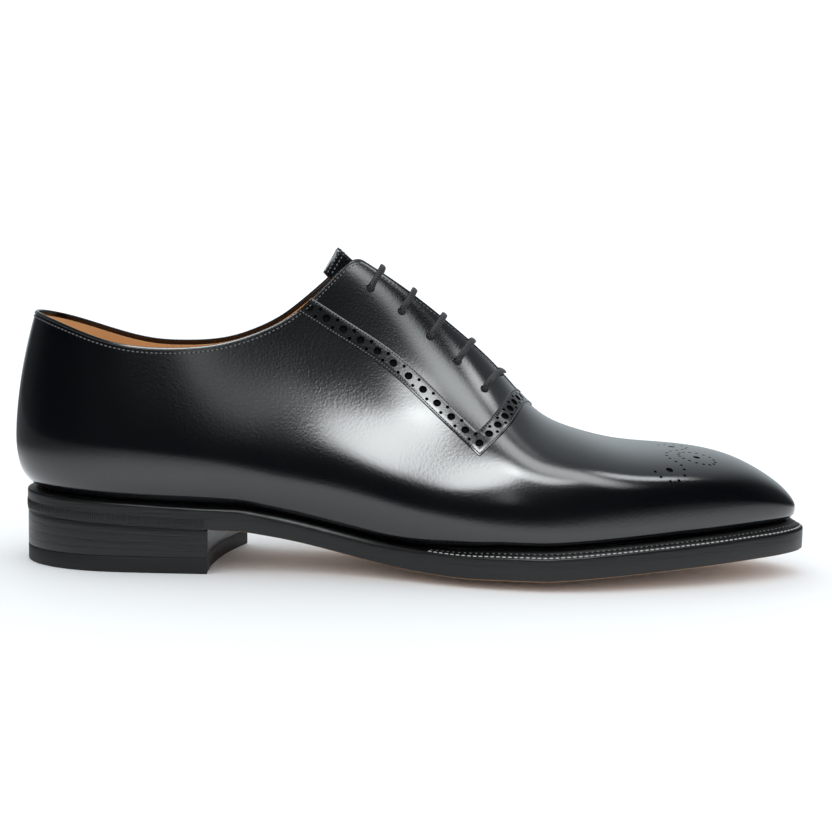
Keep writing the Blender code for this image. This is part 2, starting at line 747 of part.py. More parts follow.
def band_edges(rows, half):
    """Both edges of a strip laid along (x, drop) points on the skin, mitred at its corners."""
    frames = [skin_frame(x, drop) for x, drop in rows]
    edges = []
    for i, (point, normal, along, round_) in enumerate(frames):
        before = point - frames[i - 1][0] if i else frames[1][0] - point
        after = frames[i + 1][0] - point if i < len(frames) - 1 else before
        way_in, way_out = normal.cross(before).normalized(), normal.cross(after).normalized()
        across = (way_in + way_out).normalized()
        across *= half / max(across.dot(way_in), 0.3)
        metric = np.array([[along.dot(along), along.dot(round_)], [along.dot(round_), round_.dot(round_)]])
        shift = np.linalg.solve(metric, [across.dot(along), across.dot(round_)])
        x, drop = rows[i]
        edges.append(((x + shift[0], drop + shift[1]), (x - shift[0], drop - shift[1])))
    return edges


def run_through(rows, step):
    """(x, drop) points at even steps along a smooth curve through table rows."""
    travel = [0.0]
    for a, b in zip(rows, rows[1:]):
        travel.append(travel[-1] + math.hypot(b.x - a.x, b.drop - a.drop))
    xs = Curve(travel, [row.x for row in rows])
    drops = Curve(travel, [row.drop for row in rows])
    count = max(round(travel[-1] / step), 2)
    return [(xs(s), drops(s)) for s in spread(0.0, travel[-1], count + 1)]


def band_line(step):
    """Middle line of the band from the outer topline round to the inner one."""
    half = run_through(BAND_LONG, step) + run_through(BAND_SHORT, step)[1:]
    outer = [(x, -drop) for x, drop in half]
    return outer + [(x, -drop) for x, drop in outer[-2::-1]]


def skewed(end, after):
    """End of the band with its upper corner drawn back and its lower one let out along the band."""
    corners = []
    for corner, ahead in zip(end, after):
        lower = abs(corner[1]) == max(abs(spot[1]) for spot in end)
        share = (-BAND_END_SKEW if lower else BAND_END_SKEW) / BAND_STEP
        corners.append(tuple(a + (b - a) * share for a, b in zip(corner, ahead)))
    return tuple(corners)


def build_band(material, collection):
    """Raised strip laid on the upper."""
    edges = band_edges(band_line(BAND_STEP), BAND_HALF)
    edges[0] = skewed(edges[0], edges[1])
    edges[-1] = skewed(edges[-1], edges[-2])
    loops = []
    for left, right in edges:
        loops.append([
            raised(*left, GAP),
            raised(*left, GAP + BAND_THICK),
            raised(*right, GAP + BAND_THICK),
            raised(*right, GAP),
        ])
    return tube("brogue_band", loops, False, material, collection)


def lace_path():
    """Points along the lace: straight bars over the throat, runs under the facings between them."""
    path = []
    side = OUTER
    for i, bar in enumerate(BARS):
        ridge = (bar.ridge_x, 0.0)
        path.extend(eyelet_turn(eyelets(side)[i], ridge, True))
        for way in (side, -side):
            low = way * (bar.eyelet_drop - LACE_BEND)
            high = facing_drop(way, bar.ridge_x) - way * LACE_RADIUS
            drops = spread(low, high, 4)[1:]
            for drop in drops if way == side else drops[::-1]:
                path.append(raised(slanted(bar.ridge_x, drop), drop, LACE_OVER))
        side = -side
        path.extend(eyelet_turn(eyelets(side)[i], ridge, False))
        if i + 1 < len(BARS):
            here, after = eyelets(side)[i:i + 2]
            for share in (0.2, 0.5, 0.8):
                run = [a + (b - a) * share for a, b in zip(here, after)]
                path.append(raised(*run, -LACE_UNDER))
    return path


def eyelet_turn(hole, ridge, rising):
    """Lace points through one eyelet, from under the facing to the start of its bar, or back."""
    point, normal, _, _ = skin_frame(*hole)
    away = (skin(*ridge) - point)
    away = (away - normal * away.dot(normal)).normalized()
    turn = [point + normal * height for height in (-LACE_UNDER + LACE_BEND * 0.4, LACE_OVER - LACE_BEND)]
    for angle in (30, 60):
        angle = math.radians(angle)
        turn.append(point + away * LACE_BEND * (1 - math.cos(angle))
                    + normal * (LACE_OVER - LACE_BEND * (1 - math.sin(angle))))
    return turn if rising else turn[::-1]


def build_lace(material, collection):
    curve = bpy.data.curves.new("lace", "CURVE")
    curve.dimensions = "3D"
    curve.bevel_depth = LACE_RADIUS * MM
    curve.bevel_resolution = 2
    curve.use_fill_caps = True
    path = lace_path()
    spline = curve.splines.new("POLY")
    spline.points.add(len(path) - 1)
    for point, spot in zip(spline.points, path):
        point.co = (*placed(spot), 1.0)
    source = bpy.data.objects.new("lace_source", curve)
    collection.objects.link(source)
    bpy.context.view_layer.update()
    mesh = bpy.data.meshes.new_from_object(source.evaluated_get(bpy.context.evaluated_depsgraph_get()))
    bpy.data.objects.remove(source)
    work = bmesh.new()
    work.from_mesh(mesh)
    bmesh.ops.remove_doubles(work, verts=work.verts, dist=WELD)
    bmesh.ops.recalc_face_normals(work, faces=work.faces)
    work.to_mesh(mesh)
    work.free()
    mesh.name = "lace"
    mesh.materials.clear()
    mesh.materials.append(material)
    lace = bpy.data.objects.new("lace", mesh)
    collection.objects.link(lace)
    return lace


def main():
    for thing in list(bpy.data.objects):
        bpy.data.objects.remove(thing)
    shoe = bpy.data.collections.new("brogue_oxford")
    cutters = bpy.data.collections.new("cutters")
    for collection in (shoe, cutters):
        bpy.context.scene.collection.children.link(collection)
    black = new_material("black calf", (0.012, 0.012, 0.013), 0.22)
    panel = new_material("black calf band", (0.016, 0.016, 0.017), 0.25)
    tongue = new_material("tongue calf", (0.014, 0.014, 0.015), 0.3)
    edge = new_material("black welt leather", (0.01, 0.01, 0.01), 0.4)
    sole = new_material("tan sole leather", (0.42, 0.24, 0.12), 0.5)
    stack = new_material("black stacked leather", (0.012, 0.011, 0.011), 0.35)
    tread = new_material("heel rubber", (0.02, 0.02, 0.02), 0.7)
    lining = new_material("tan lining leather", (0.6, 0.33, 0.16), 0.6)
    cord = new_material("black waxed cord", (0.02, 0.02, 0.022), 0.5)
    build_outsole(sole, shoe)
    build_welt(edge, shoe)
    build_heel(stack, tread, shoe)
    build_upper(black, shoe, cutters)
    build_insole(lining, shoe)
    build_tongue(tongue, shoe)
    build_band(panel, shoe)
    build_lace(cord, shoe)


main()
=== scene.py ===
"""Finish of a right-foot brogue oxford: calf, lining, thread, lace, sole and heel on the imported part.

Shapes are worked out in the maker's frame, in millimetres: x from the back of the heel to the toe,
y towards the inner side of the foot, z up from the floor. Meshes are in metres about the footprint's centre.
"""
import math
from collections import namedtuple

import bmesh
import bpy
import numpy as np
from bpy.props import FloatProperty, FloatVectorProperty, PointerProperty
from mathutils import Matrix, Quaternion, Vector
from mathutils.bvhtree import BVHTree


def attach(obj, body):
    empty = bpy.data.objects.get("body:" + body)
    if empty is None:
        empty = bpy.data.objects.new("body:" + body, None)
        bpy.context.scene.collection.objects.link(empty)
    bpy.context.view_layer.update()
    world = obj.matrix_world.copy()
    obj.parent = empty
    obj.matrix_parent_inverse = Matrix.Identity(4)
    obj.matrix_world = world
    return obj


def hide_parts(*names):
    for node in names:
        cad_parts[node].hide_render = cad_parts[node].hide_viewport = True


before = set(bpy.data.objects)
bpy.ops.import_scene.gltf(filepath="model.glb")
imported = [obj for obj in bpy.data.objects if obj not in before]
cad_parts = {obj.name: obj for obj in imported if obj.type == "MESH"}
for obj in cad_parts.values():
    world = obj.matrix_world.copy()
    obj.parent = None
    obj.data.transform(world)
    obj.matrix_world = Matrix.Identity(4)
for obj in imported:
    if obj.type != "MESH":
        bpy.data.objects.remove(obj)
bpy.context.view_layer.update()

bl_info = {
    "name": "Brogue oxford finish",
    "version": (1, 0, 0),
    "blender": (4, 5, 0),
    "location": "View3D > Sidebar > Shoe",
    "description": "Dresses the packed shoe with leather, thread, lace and sole finishes",
    "category": "Object",
}

MM = 0.001
WELD = 0.00001            # metres
OUTER = -1
INNER = 1
SIDES = (OUTER, INNER)

# Plan
HEEL_WIDEST = 48.0        # behind this station the plan is a half oval
SOLE_BACK = 4.2
SOLE_TIP = 306.4
LAST_TIP = 302.9          # foremost point of the upper
HEEL_OVAL = 2.15          # roundness of the half oval, 2 is an ellipse

# Upper
WALL = 1.8
GAP = 0.3                 # clearance between pieces that lie on each other
BACK_GIRTH_Z = 47.5       # fullest point of the heel's back curve
BACK_TUCK = 5.2           # from there in to the feather edge
BACK_LEAN = 7.5           # from there in to the topline
BACK_LEAN_POWER = 1.8
TUCK_START = math.radians(35)
SKIN_STEPS = 48           # chords that measure round a section
THROAT_END = 199.0
FACING_ROUND = 4.5        # corner between topline and facing edge

# Sole
OUTSOLE_THICK = 5.0
WELT_THICK = 2.8          # at its edge
WELT_MARGIN = 5.0         # over which its upper face rises to the upper
WELT_WIDTH = 11.0
FLAT_BACK = 178.0         # forefoot patch that stands on the floor
FLAT_FRONT = 202.0
FLAT_SHARE = 0.42         # of the half width
TOE_SPRING = 10.0
TOE_SPRING_POWER = 1.12
SEAT_FRONT = 87.0         # the heel seat is flat up to here
SEAT_FRONT_Z = 15.9
SEAT_SLOPE = -0.046
INSOLE_THICK = 2.5

# Heel
TOP_PIECE_THICK = 6.0
HEEL_INSET = 0.2
BREAST_OUTER_X = 78.3
BREAST_INNER_X = 85.5
BREAST_HOLLOW = 3.2

# Lace panel
EYELET_RADIUS = 1.7
BAR_SLANT = 0.39          # how far a bar falls back as it leaves the ridge
BAR_ROUND = 4.0
LACE_RADIUS = 1.15
LACE_BEND = 1.6
LACE_UNDER = WALL + GAP + LACE_RADIUS + 0.1
LACE_OVER = GAP + LACE_RADIUS + 0.1
TONGUE_THICK = 1.6
TONGUE_TOP_X = 124.2
TONGUE_END_X = 207.0

# Brogue band
BAND_HALF = 3.7
BAND_THICK = 0.7
BAND_STEP = 4.5
BAND_END_SKEW = 1.0       # its ends lean to lie along the topline

# Sections of the upper. ridge_z behind the throat is the height the section would close at.
# The last three columns shape a section: rise of the wall, fullness of the flank, breadth of the ridge.
Section = namedtuple(
    "Section", "x ridge_z ridge_y girth_z outer_w inner_w outer_tuck inner_tuck wall flank ridge")
SECTIONS = (
    Section(48.0, 150.0, 0.0, 45.5, 33.5, 33.0, 3.4, 3.2, 0.10, 0.18, 0.45),
    Section(65.0, 146.5, 0.0, 43.8, 33.3, 32.4, 3.4, 3.6, 0.12, 0.11, 0.45),
    Section(85.0, 141.0, 0.1, 41.2, 32.8, 30.8, 3.8, 5.0, 0.15, 0.01, 0.44),
    Section(105.0, 134.6, 0.3, 37.2, 33.0, 29.6, 4.5, 6.4, 0.19, -0.08, 0.40),
    Section(128.0, 122.0, 0.7, 33.0, 35.2, 30.4, 5.0, 7.8, 0.23, -0.14, 0.33),
    Section(148.0, 108.9, 1.4, 28.0, 39.0, 33.8, 4.2, 6.6, 0.26, -0.14, 0.27),
    Section(168.0, 93.0, 2.6, 24.0, 42.6, 39.2, 2.8, 4.4, 0.34, -0.03, 0.26),
    Section(185.0, 77.6, 4.2, 21.4, 44.3, 43.2, 1.9, 2.8, 0.46, 0.18, 0.32),
    Section(200.0, 61.7, 6.5, 20.6, 44.6, 45.2, 1.3, 1.6, 0.57, 0.48, 0.41),
    Section(216.0, 53.3, 9.2, 21.2, 42.8, 45.2, 1.1, 1.2, 0.64, 0.74, 0.45),
    Section(233.0, 48.9, 12.0, 23.0, 39.4, 42.6, 1.1, 1.1, 0.67, 0.87, 0.46),
    Section(250.0, 47.4, 13.8, 25.2, 34.4, 37.4, 1.1, 1.1, 0.67, 0.89, 0.46),
    Section(266.0, 46.4, 12.8, 27.4, 28.8, 31.0, 1.1, 1.1, 0.60, 0.85, 0.46),
    Section(279.5, 43.6, 8.8, 28.6, 23.0, 24.2, 1.1, 1.1, 0.52, 0.75, 0.45),
    Section(290.0, 38.6, 4.4, 28.4, 17.3, 17.9, 1.0, 1.0, 0.45, 0.63, 0.44),
    Section(297.7, 33.1, 1.8, 27.0, 11.3, 11.5, 1.0, 1.0, 0.41, 0.55, 0.41),
    Section(301.6, 28.6, 0.4, 25.8, 5.7, 5.8, 0.9, 0.9, 0.41, 0.55, 0.41),
    Section(302.9, 25.0, 0.0, 25.0, 0.0, 0.0, 0.9, 0.9, 0.41, 0.55, 0.41),
)

Topline = namedtuple("Topline", "x outer_z inner_z")
TOPLINE = (
    Topline(7.5, 95.7, 95.7),
    Topline(13.0, 94.2, 94.2),
    Topline(26.7, 89.7, 89.8),
    Topline(36.6, 86.4, 86.8),
    Topline(48.0, 83.9, 84.6),
    Topline(58.0, 83.2, 84.2),
    Topline(70.0, 83.5, 84.8),
    Topline(80.0, 84.8, 86.6),
    Topline(90.0, 87.6, 90.2),
    Topline(100.0, 91.9, 95.5),
    Topline(108.0, 96.8, 101.6),
    Topline(115.0, 103.0, 107.6),
    Topline(122.0, 110.6, 113.8),
    Topline(128.7, 117.6, 119.0),
    Topline(134.0, 122.8, 123.4),
)

Throat = namedtuple("Throat", "x half_gap")
THROAT = (
    Throat(128.0, 3.4),
    Throat(150.0, 2.6),
    Throat(175.0, 2.1),
    Throat(193.0, 1.5),
    Throat(199.0, 0.0),
)

# crown lifts the underside's edges, bevel rounds the welt's corner, rise lifts its face to the upper.
SoleRow = namedtuple("SoleRow", "x outer_w inner_w crown bevel rise")
SOLE = (
    SoleRow(48.0, 31.3, 31.0, 0.0, 0.5, 1.0),
    SoleRow(65.0, 31.5, 30.6, 0.0, 0.5, 1.0),
    SoleRow(80.0, 31.0, 28.8, 0.1, 0.7, 1.0),
    SoleRow(100.0, 29.6, 24.8, 0.7, 2.0, 0.9),
    SoleRow(120.0, 30.0, 22.4, 1.2, 2.4, 0.8),
    SoleRow(140.0, 34.0, 25.6, 1.8, 2.2, 0.9),
    SoleRow(155.0, 38.8, 31.2, 2.5, 1.2, 1.7),
    SoleRow(170.0, 43.8, 38.2, 3.2, 0.5, 2.8),
    SoleRow(185.0, 47.4, 44.6, 3.7, 0.5, 3.4),
    SoleRow(200.0, 48.9, 48.6, 3.8, 0.5, 3.6),
    SoleRow(213.0, 48.2, 49.9, 3.7, 0.5, 3.6),
    SoleRow(227.0, 45.6, 48.5, 3.5, 0.5, 3.6),
    SoleRow(241.0, 41.6, 44.8, 3.1, 0.5, 3.6),
    SoleRow(255.0, 36.8, 39.8, 2.6, 0.5, 3.6),
    SoleRow(270.0, 30.6, 32.8, 2.0, 0.5, 3.6),
    SoleRow(282.5, 24.3, 25.6, 1.4, 0.5, 3.6),
    SoleRow(292.3, 18.7, 19.4, 0.8, 0.5, 3.6),
    SoleRow(300.2, 12.5, 12.8, 0.4, 0.5, 3.6),
    SoleRow(304.6, 6.7, 6.8, 0.2, 0.5, 3.6),
    SoleRow(306.4, 0.0, 0.0, 0.0, 0.5, 3.6),
)

Waist = namedtuple("Waist", "x z")
WAIST = (
    Waist(87.0, 15.9),
    Waist(97.0, 14.4),
    Waist(108.0, 12.2),
    Waist(121.0, 9.2),
    Waist(134.0, 6.1),
    Waist(147.0, 3.3),
    Waist(160.0, 1.3),
    Waist(170.0, 0.3),
    Waist(178.0, 0.0),
)

TongueRow = namedtuple("TongueRow", "ridge_x half_width depth")
TONGUE = (
    TongueRow(124.2, 18.0, 2.7),
    TongueRow(127.5, 19.0, 3.3),
    TongueRow(132.0, 20.0, 4.1),
    TongueRow(139.0, 21.0, 4.9),
    TongueRow(160.0, 21.0, 4.9),
    TongueRow(187.0, 20.0, 4.9),
    TongueRow(207.0, 14.0, 2.8),
)

Bar = namedtuple("Bar", "ridge_x eyelet_drop")
BARS = (
    Bar(139.9, 13.9),
    Bar(152.2, 14.6),
    Bar(163.9, 16.4),
    Bar(175.3, 18.5),
    Bar(187.4, 23.2),
)

# Middle line of the band on the outer side, down from the topline to its corner, then up to the ridge.
BandRow = namedtuple("BandRow", "x drop")
BAND_LONG = (
    BandRow(111.5, 36.5),
    BandRow(124.5, 37.0),
    BandRow(139.3, 37.2),
    BandRow(151.0, 39.0),
    BandRow(162.5, 42.8),
    BandRow(170.3, 46.1),
    BandRow(177.5, 49.7),
)
BAND_SHORT = (
    BandRow(177.5, 49.7),
    BandRow(186.2, 33.4),
    BandRow(191.9, 16.5),
    BandRow(196.8, 0.0),
)


class Curve:
    """Cubic spline through points, straight at an end with no slope given."""

    def __init__(self, xs, ys, first=None, last=None):
        self.xs = np.asarray(xs, float)
        self.ys = np.asarray(ys, float)
        count = len(self.xs)
        steps = np.diff(self.xs)
        rises = np.diff(self.ys) / steps
        matrix = np.zeros((count, count))
        target = np.zeros(count)
        for i in range(1, count - 1):
            matrix[i, i - 1] = steps[i]
            matrix[i, i] = 2 * (steps[i - 1] + steps[i])
            matrix[i, i + 1] = steps[i - 1]
            target[i] = 3 * (steps[i] * rises[i - 1] + steps[i - 1] * rises[i])
        ends = ((0, 1, first, rises[0]), (count - 1, count - 2, last, rises[-1]))
        for end, inner, slope, rise in ends:
            matrix[end, end] = 2.0 if slope is None else 1.0
            matrix[end, inner] = 1.0 if slope is None else 0.0
            target[end] = 3 * rise if slope is None else slope
        self.slopes = np.linalg.solve(matrix, target)

    def at(self, x):
        """Value and slope at x, held at the ends."""
        x = min(max(x, self.xs[0]), self.xs[-1])
        i = min(max(int(np.searchsorted(self.xs, x)) - 1, 0), len(self.xs) - 2)
        step = self.xs[i + 1] - self.xs[i]
        t = (x - self.xs[i]) / step
        y0, y1 = self.ys[i], self.ys[i + 1]
        m0, m1 = self.slopes[i] * step, self.slopes[i + 1] * step
        a = 2 * y0 - 2 * y1 + m0 + m1
        b = 3 * y1 - 3 * y0 - 2 * m0 - m1
        return ((a * t + b) * t + m0) * t + y0, ((3 * a * t + 2 * b) * t + m0) / step

    def __call__(self, x):
        return float(self.at(x)[0])


def tip_share(x, tip):
    """Square root of the way back from the tip, in which every width near the tip is smooth."""
    return math.sqrt(max(tip - x, 0.0) / (tip - HEEL_WIDEST))


def tip_curves(rows, tip, level):
    """One curve for each column of a table, run over tip_share; columns in level leave the heel flat."""
    shares = [tip_share(row.x, tip) for row in reversed(rows)]
    curves = {}
    for column in rows[0]._fields[1:]:
        values = [getattr(row, column) for row in reversed(rows)]
        curves[column] = Curve(shares, values, last=0.0 if column in level else None)
    return curves


def table_curve(rows, column, first=None, last=None):
    """Curve of one column over the table's first column."""
    return Curve([row[0] for row in rows], [getattr(row, column) for row in rows], first, last)


LAST = tip_curves(SECTIONS, LAST_TIP, ("outer_w", "inner_w"))
SOLE_CURVES = tip_curves(SOLE, SOLE_TIP, ("outer_w", "inner_w", "crown", "bevel", "rise"))
TOPLINE_Z = {OUTER: table_curve(TOPLINE, "outer_z"), INNER: table_curve(TOPLINE, "inner_z")}
THROAT_GAP = table_curve(THROAT, "half_gap")
WAIST_Z = table_curve(WAIST, "z", first=SEAT_SLOPE, last=0.0)
SIDE_NAME = {OUTER: "outer", INNER: "inner"}


def oval(turn):
    """Shares of length and width round the heel's half oval, turn 0 at the back and 1 at the sides."""
    angle = turn * math.pi / 2
    return abs(math.cos(angle)) ** (2 / HEEL_OVAL), abs(math.sin(angle)) ** (2 / HEEL_OVAL)


def sole_half(side, x):
    """Half width of the sole."""
    column = SOLE_CURVES[SIDE_NAME[side] + "_w"]
    if x >= HEEL_WIDEST:
        return column(tip_share(x, SOLE_TIP))
    back = min((HEEL_WIDEST - x) / (HEEL_WIDEST - SOLE_BACK), 1.0)
    return column(1.0) * (1 - back ** HEEL_OVAL) ** (1 / HEEL_OVAL)


def ground(x):
    """Height of the sole's underside on its middle line."""
    if x <= SEAT_FRONT:
        return SEAT_FRONT_Z + SEAT_SLOPE * (x - SEAT_FRONT)
    if x <= FLAT_BACK:
        return WAIST_Z(x)
    if x <= FLAT_FRONT:
        return 0.0
    return TOE_SPRING * ((x - FLAT_FRONT) / (SOLE_TIP - FLAT_FRONT)) ** TOE_SPRING_POWER


def underside(x, y):
    """Height of the sole's underside, which lifts towards its edges."""
    half = max(sole_half(INNER if y > 0 else OUTER, x), 1e-6)
    edge = max(abs(y) / half - FLAT_SHARE, 0.0) / (1 - FLAT_SHARE)
    return ground(x) + SOLE_CURVES["crown"](tip_share(x, SOLE_TIP)) * min(edge, 1.0) ** 2


def edge_distance(x, y):
    """About how far a point of the plan lies inside the sole's edge."""
    side = INNER if y > 0 else OUTER
    reach = 0.5
    lean = (sole_half(side, x + reach) - sole_half(side, x - reach)) / (2 * reach)
    across = (sole_half(side, x) - abs(y)) / math.hypot(1.0, lean)
    return max(min(across, SOLE_TIP - x, x - SOLE_BACK), 0.0)


def welt_lift(x, inset):
    """Height of the welt's upper face over its underside."""
    rise = SOLE_CURVES["rise"](tip_share(x, SOLE_TIP))
    return WELT_THICK + rise * min(inset / WELT_MARGIN, 1.0)


def welt_top(x, y):
    return underside(x, y) + OUTSOLE_THICK + GAP + welt_lift(x, edge_distance(x, y))


class Rib:
    """One section of the upper on one side: feather edge, fullest point, then a curve to the ridge."""

    def __init__(self, side, station):
        """station is a heel turn in -1..0 (back to sides), or an x ahead of the heel's widest place."""
        self.side = side
        self.heel = station < 0
        x = HEEL_WIDEST if self.heel else station
        share = tip_share(x, LAST_TIP)
        name = SIDE_NAME[side]
        self.half, half_slope = LAST[name + "_w"].at(share)
        self.girth_z = LAST["girth_z"](share)
        self.ridge = (LAST["ridge_y"](share), LAST["ridge_z"](share))
        rise = self.ridge[1] - self.girth_z
        span = side * self.half - self.ridge[0]
        middle = (1 + LAST["flank"](share)) / 2
        hold = LAST["ridge"](share) * (LAST["outer_w"](share) + LAST["inner_w"](share)) / 2
        self.poles = (
            (side * self.half, self.girth_z),
            (side * self.half, self.girth_z + LAST["wall"](share) * rise),
            (self.ridge[0] + middle * span, self.girth_z + middle * rise),
            (self.ridge[0] + side * hold, self.ridge[1]),
            self.ridge,
        )
        tuck = LAST[name + "_tuck"](share)
        self.x = x
        self.end = self.top_share()
        if self.heel:
            along, across = oval(1 + station)
            self.along, self.across = along, across
            self.rise = self.bow(self.end)[1] - self.girth_z
            self.low_z = self.girth_z + (BACK_GIRTH_Z - self.girth_z) * along
            self.top_z = TOPLINE_Z[side](HEEL_WIDEST - (HEEL_WIDEST - BACK_LEAN) * along)
            tuck += (BACK_TUCK - tuck) * along ** 2
            normal = (-along ** (HEEL_OVAL - 1) / HEEL_WIDEST, side * across ** (HEEL_OVAL - 1) / self.half)
            self.full = (HEEL_WIDEST * (1 - along), side * self.half * across)
        else:
            self.low_z = self.girth_z
            normal = (half_slope, side * 2 * share * (LAST_TIP - HEEL_WIDEST))
            self.full = (x, side * self.half)
        length = math.hypot(*normal)
        self.normal = (normal[0] / length, normal[1] / length)
        self.feather = self.inside(tuck)
        self.feather_z = max(welt_top(*self.feather), welt_top(*self.inside(tuck + WALL))) + GAP

    def inside(self, inset):
        """Point of the plan at an inset from the fullest line."""
        return (self.full[0] - self.normal[0] * inset, self.full[1] - self.normal[1] * inset)

    def bow(self, t):
        """Point (y, z) of the section's upper curve."""
        s = 1 - t
        weights = (s ** 4, 4 * s ** 3 * t, 6 * s * s * t * t, 4 * s * t ** 3, t ** 4)
        return tuple(sum(w * pole[i] for w, pole in zip(weights, self.poles)) for i in (0, 1))

    def top_share(self):
        """Place on the upper curve where the leather stops: topline, facing edge or ridge."""
        if self.x >= THROAT_END:
            return 1.0
        side = OUTER if self.heel else self.side    # at the back both halves meet
        lid = TOPLINE_Z[side](self.x)
        gap = THROAT_GAP(self.x) if self.x > THROAT[0].x else THROAT[0].half_gap
        low, high = 0.0, 1.0
        for _ in range(40):
            middle = (low + high) / 2
            y, z = self.bow(middle)
            below, beside = lid - z, abs(y - self.ridge[0]) - gap
            corner = math.hypot(max(FACING_ROUND - below, 0.0), max(FACING_ROUND - beside, 0.0))
            inside = min(below, beside) > 0 and corner < FACING_ROUND
            low, high = (middle, high) if inside else (low, middle)
        return low

    def point(self, v):
        """v runs -1 at the feather edge, 0 at the fullest point, 1 at the top edge."""
        if v < 0:
            angle = TUCK_START + (math.pi / 2 - TUCK_START) * (1 + v)
            out = (math.sin(angle) - math.sin(TUCK_START)) / (1 - math.sin(TUCK_START))
            z = self.low_z - (self.low_z - self.feather_z) * math.cos(angle) / math.cos(TUCK_START)
            plan = [a + (b - a) * out for a, b in zip(self.feather, self.full)]
            return Vector((plan[0], plan[1], z))
        y, z = self.bow(v * self.end)
        if not self.heel:
            return Vector((self.x, y, z))
        share = (z - self.girth_z) / self.rise
        reach = HEEL_WIDEST - BACK_LEAN * share ** BACK_LEAN_POWER
        level = self.low_z + share * (self.top_z - self.low_z)
        return Vector((HEEL_WIDEST - reach * self.along, y * self.across, level))

    def drops(self):
        """Places on the upper curve from the ridge down, and the way round the section to each."""
        shares = np.linspace(1.0, 0.0, SKIN_STEPS + 1)
        ys, zs = self.bow(shares)
        return shares, np.concatenate(([0.0], np.cumsum(np.hypot(np.diff(ys), np.diff(zs)))))


def skin(x, drop):
    """Point of the upper's outside, drop measured round the section from the ridge, negative outward."""
    rib = Rib(OUTER if drop < 0 else INNER, x)
    shares, travel = rib.drops()
    y, z = rib.bow(float(np.interp(abs(drop), travel, shares)))
    return Vector((x, y, z))


def facing_drop(side, x):
    """Drop of the facing's edge."""
    rib = Rib(side, x)
    shares, travel = rib.drops()
    return side * float(np.interp(1 - rib.end, 1 - shares, travel))


def skin_frame(x, drop):
    """Point, outward normal and the two directions of the skin."""
    reach = 0.4
    along = (skin(x + reach, drop) - skin(x - reach, drop)) / (2 * reach)
    round_ = (skin(x, drop + reach) - skin(x, drop - reach)) / (2 * reach)
    normal = round_.cross(along)
    if normal.z < 0:
        normal.negate()
    return skin(x, drop), normal.normalized(), along, round_


def raised(x, drop, height):
    point, normal, _, _ = skin_frame(x, drop)
    return point + normal * height


def slanted(ridge_x, drop):
    """Station of a line across the throat, square to the ridge, at a drop from it."""
    return ridge_x - BAR_SLANT * (math.hypot(drop, BAR_ROUND) - BAR_ROUND)


def spread(first, last, count):
    return [first + (last - first) * i / (count - 1) for i in range(count)]


def tip_stations(first, tip, count):
    """Stations that crowd towards the tip as the plan turns across it."""
    return [tip - (tip - first) * (1 - i / count) ** 2 for i in range(count + 1)]


FOOTPRINT = [(side, sole_half(side, x)) for side in SIDES for x in np.arange(HEEL_WIDEST, SOLE_TIP, 0.25)]
CENTRE = Vector((
    SOLE_TIP / 2,
    (max(w for s, w in FOOTPRINT if s == INNER) - max(w for s, w in FOOTPRINT if s == OUTER)) / 2,
    0.0,
))


def placed(point):
    """Maker's millimetres to the part's metres."""
    return (Vector(point) - CENTRE) * MM


def sole_edge(stations):
    """The sole's outline as (x, y, outward x, outward y), once round from the heel's back."""
    outer = [(x, -sole_half(OUTER, x)) for x in stations]
    inner = [(x, sole_half(INNER, x)) for x in stations]
    ring = outer + inner[-2:0:-1]
    edge = []
    for i, (x, y) in enumerate(ring):
        before, after = ring[i - 1], ring[(i + 1) % len(ring)]
        tangent = Vector((after[0] - before[0], after[1] - before[1])).normalized()
        edge.append((x, y, tangent.y, -tangent.x))
    return edge


def heel_outline(turns, along, across):
    """Heel block seen from above: the sole's back end closed by a hollow breast. Counts are of points."""
    turns = spread(0.0, 1.0, turns)
    outline = []
    for side, front in ((INNER, BREAST_INNER_X), (OUTER, BREAST_OUTER_X)):
        half = [HEEL_WIDEST - (HEEL_WIDEST - SOLE_BACK - HEEL_INSET) * oval(t)[0] for t in turns]
        xs = half + spread(HEEL_WIDEST, front, along)[1:]
        run = [(x, side * (sole_half(side, max(x - HEEL_INSET, SOLE_BACK)) - HEEL_INSET)) for x in xs[1:]]
        outline.append([(xs[0], 0.0)] + run)
    inner, outer = outline
    start, stop = Vector(inner[-1]), Vector(outer[-1])
    breast = []
    for share in spread(0.0, 1.0, across)[1:-1]:
        spot = start.lerp(stop, share)
        breast.append((spot.x - BREAST_HOLLOW * (1 - (2 * share - 1) ** 2), spot.y))
    return inner + breast + outer[:0:-1]


def eyelets(side):
    """(x, drop) of the eyelets on one side, top first."""
    return [(slanted(bar.ridge_x, bar.eyelet_drop), side * bar.eyelet_drop) for bar in BARS]


def band_edges(rows, half):
    """Both edges of a strip laid along (x, drop) points on the skin, mitred at its corners."""
    frames = [skin_frame(x, drop) for x, drop in rows]
    edges = []
    for i, (point, normal, along, round_) in enumerate(frames):
        before = point - frames[i - 1][0] if i else frames[1][0] - point
        after = frames[i + 1][0] - point if i < len(frames) - 1 else before
        way_in, way_out = normal.cross(before).normalized(), normal.cross(after).normalized()
        across = (way_in + way_out).normalized()
        across *= half / max(across.dot(way_in), 0.3)
        metric = np.array([[along.dot(along), along.dot(round_)], [along.dot(round_), round_.dot(round_)]])
        shift = np.linalg.solve(metric, [across.dot(along), across.dot(round_)])
        x, drop = rows[i]
        edges.append(((x + shift[0], drop + shift[1]), (x - shift[0], drop - shift[1])))
    return edges


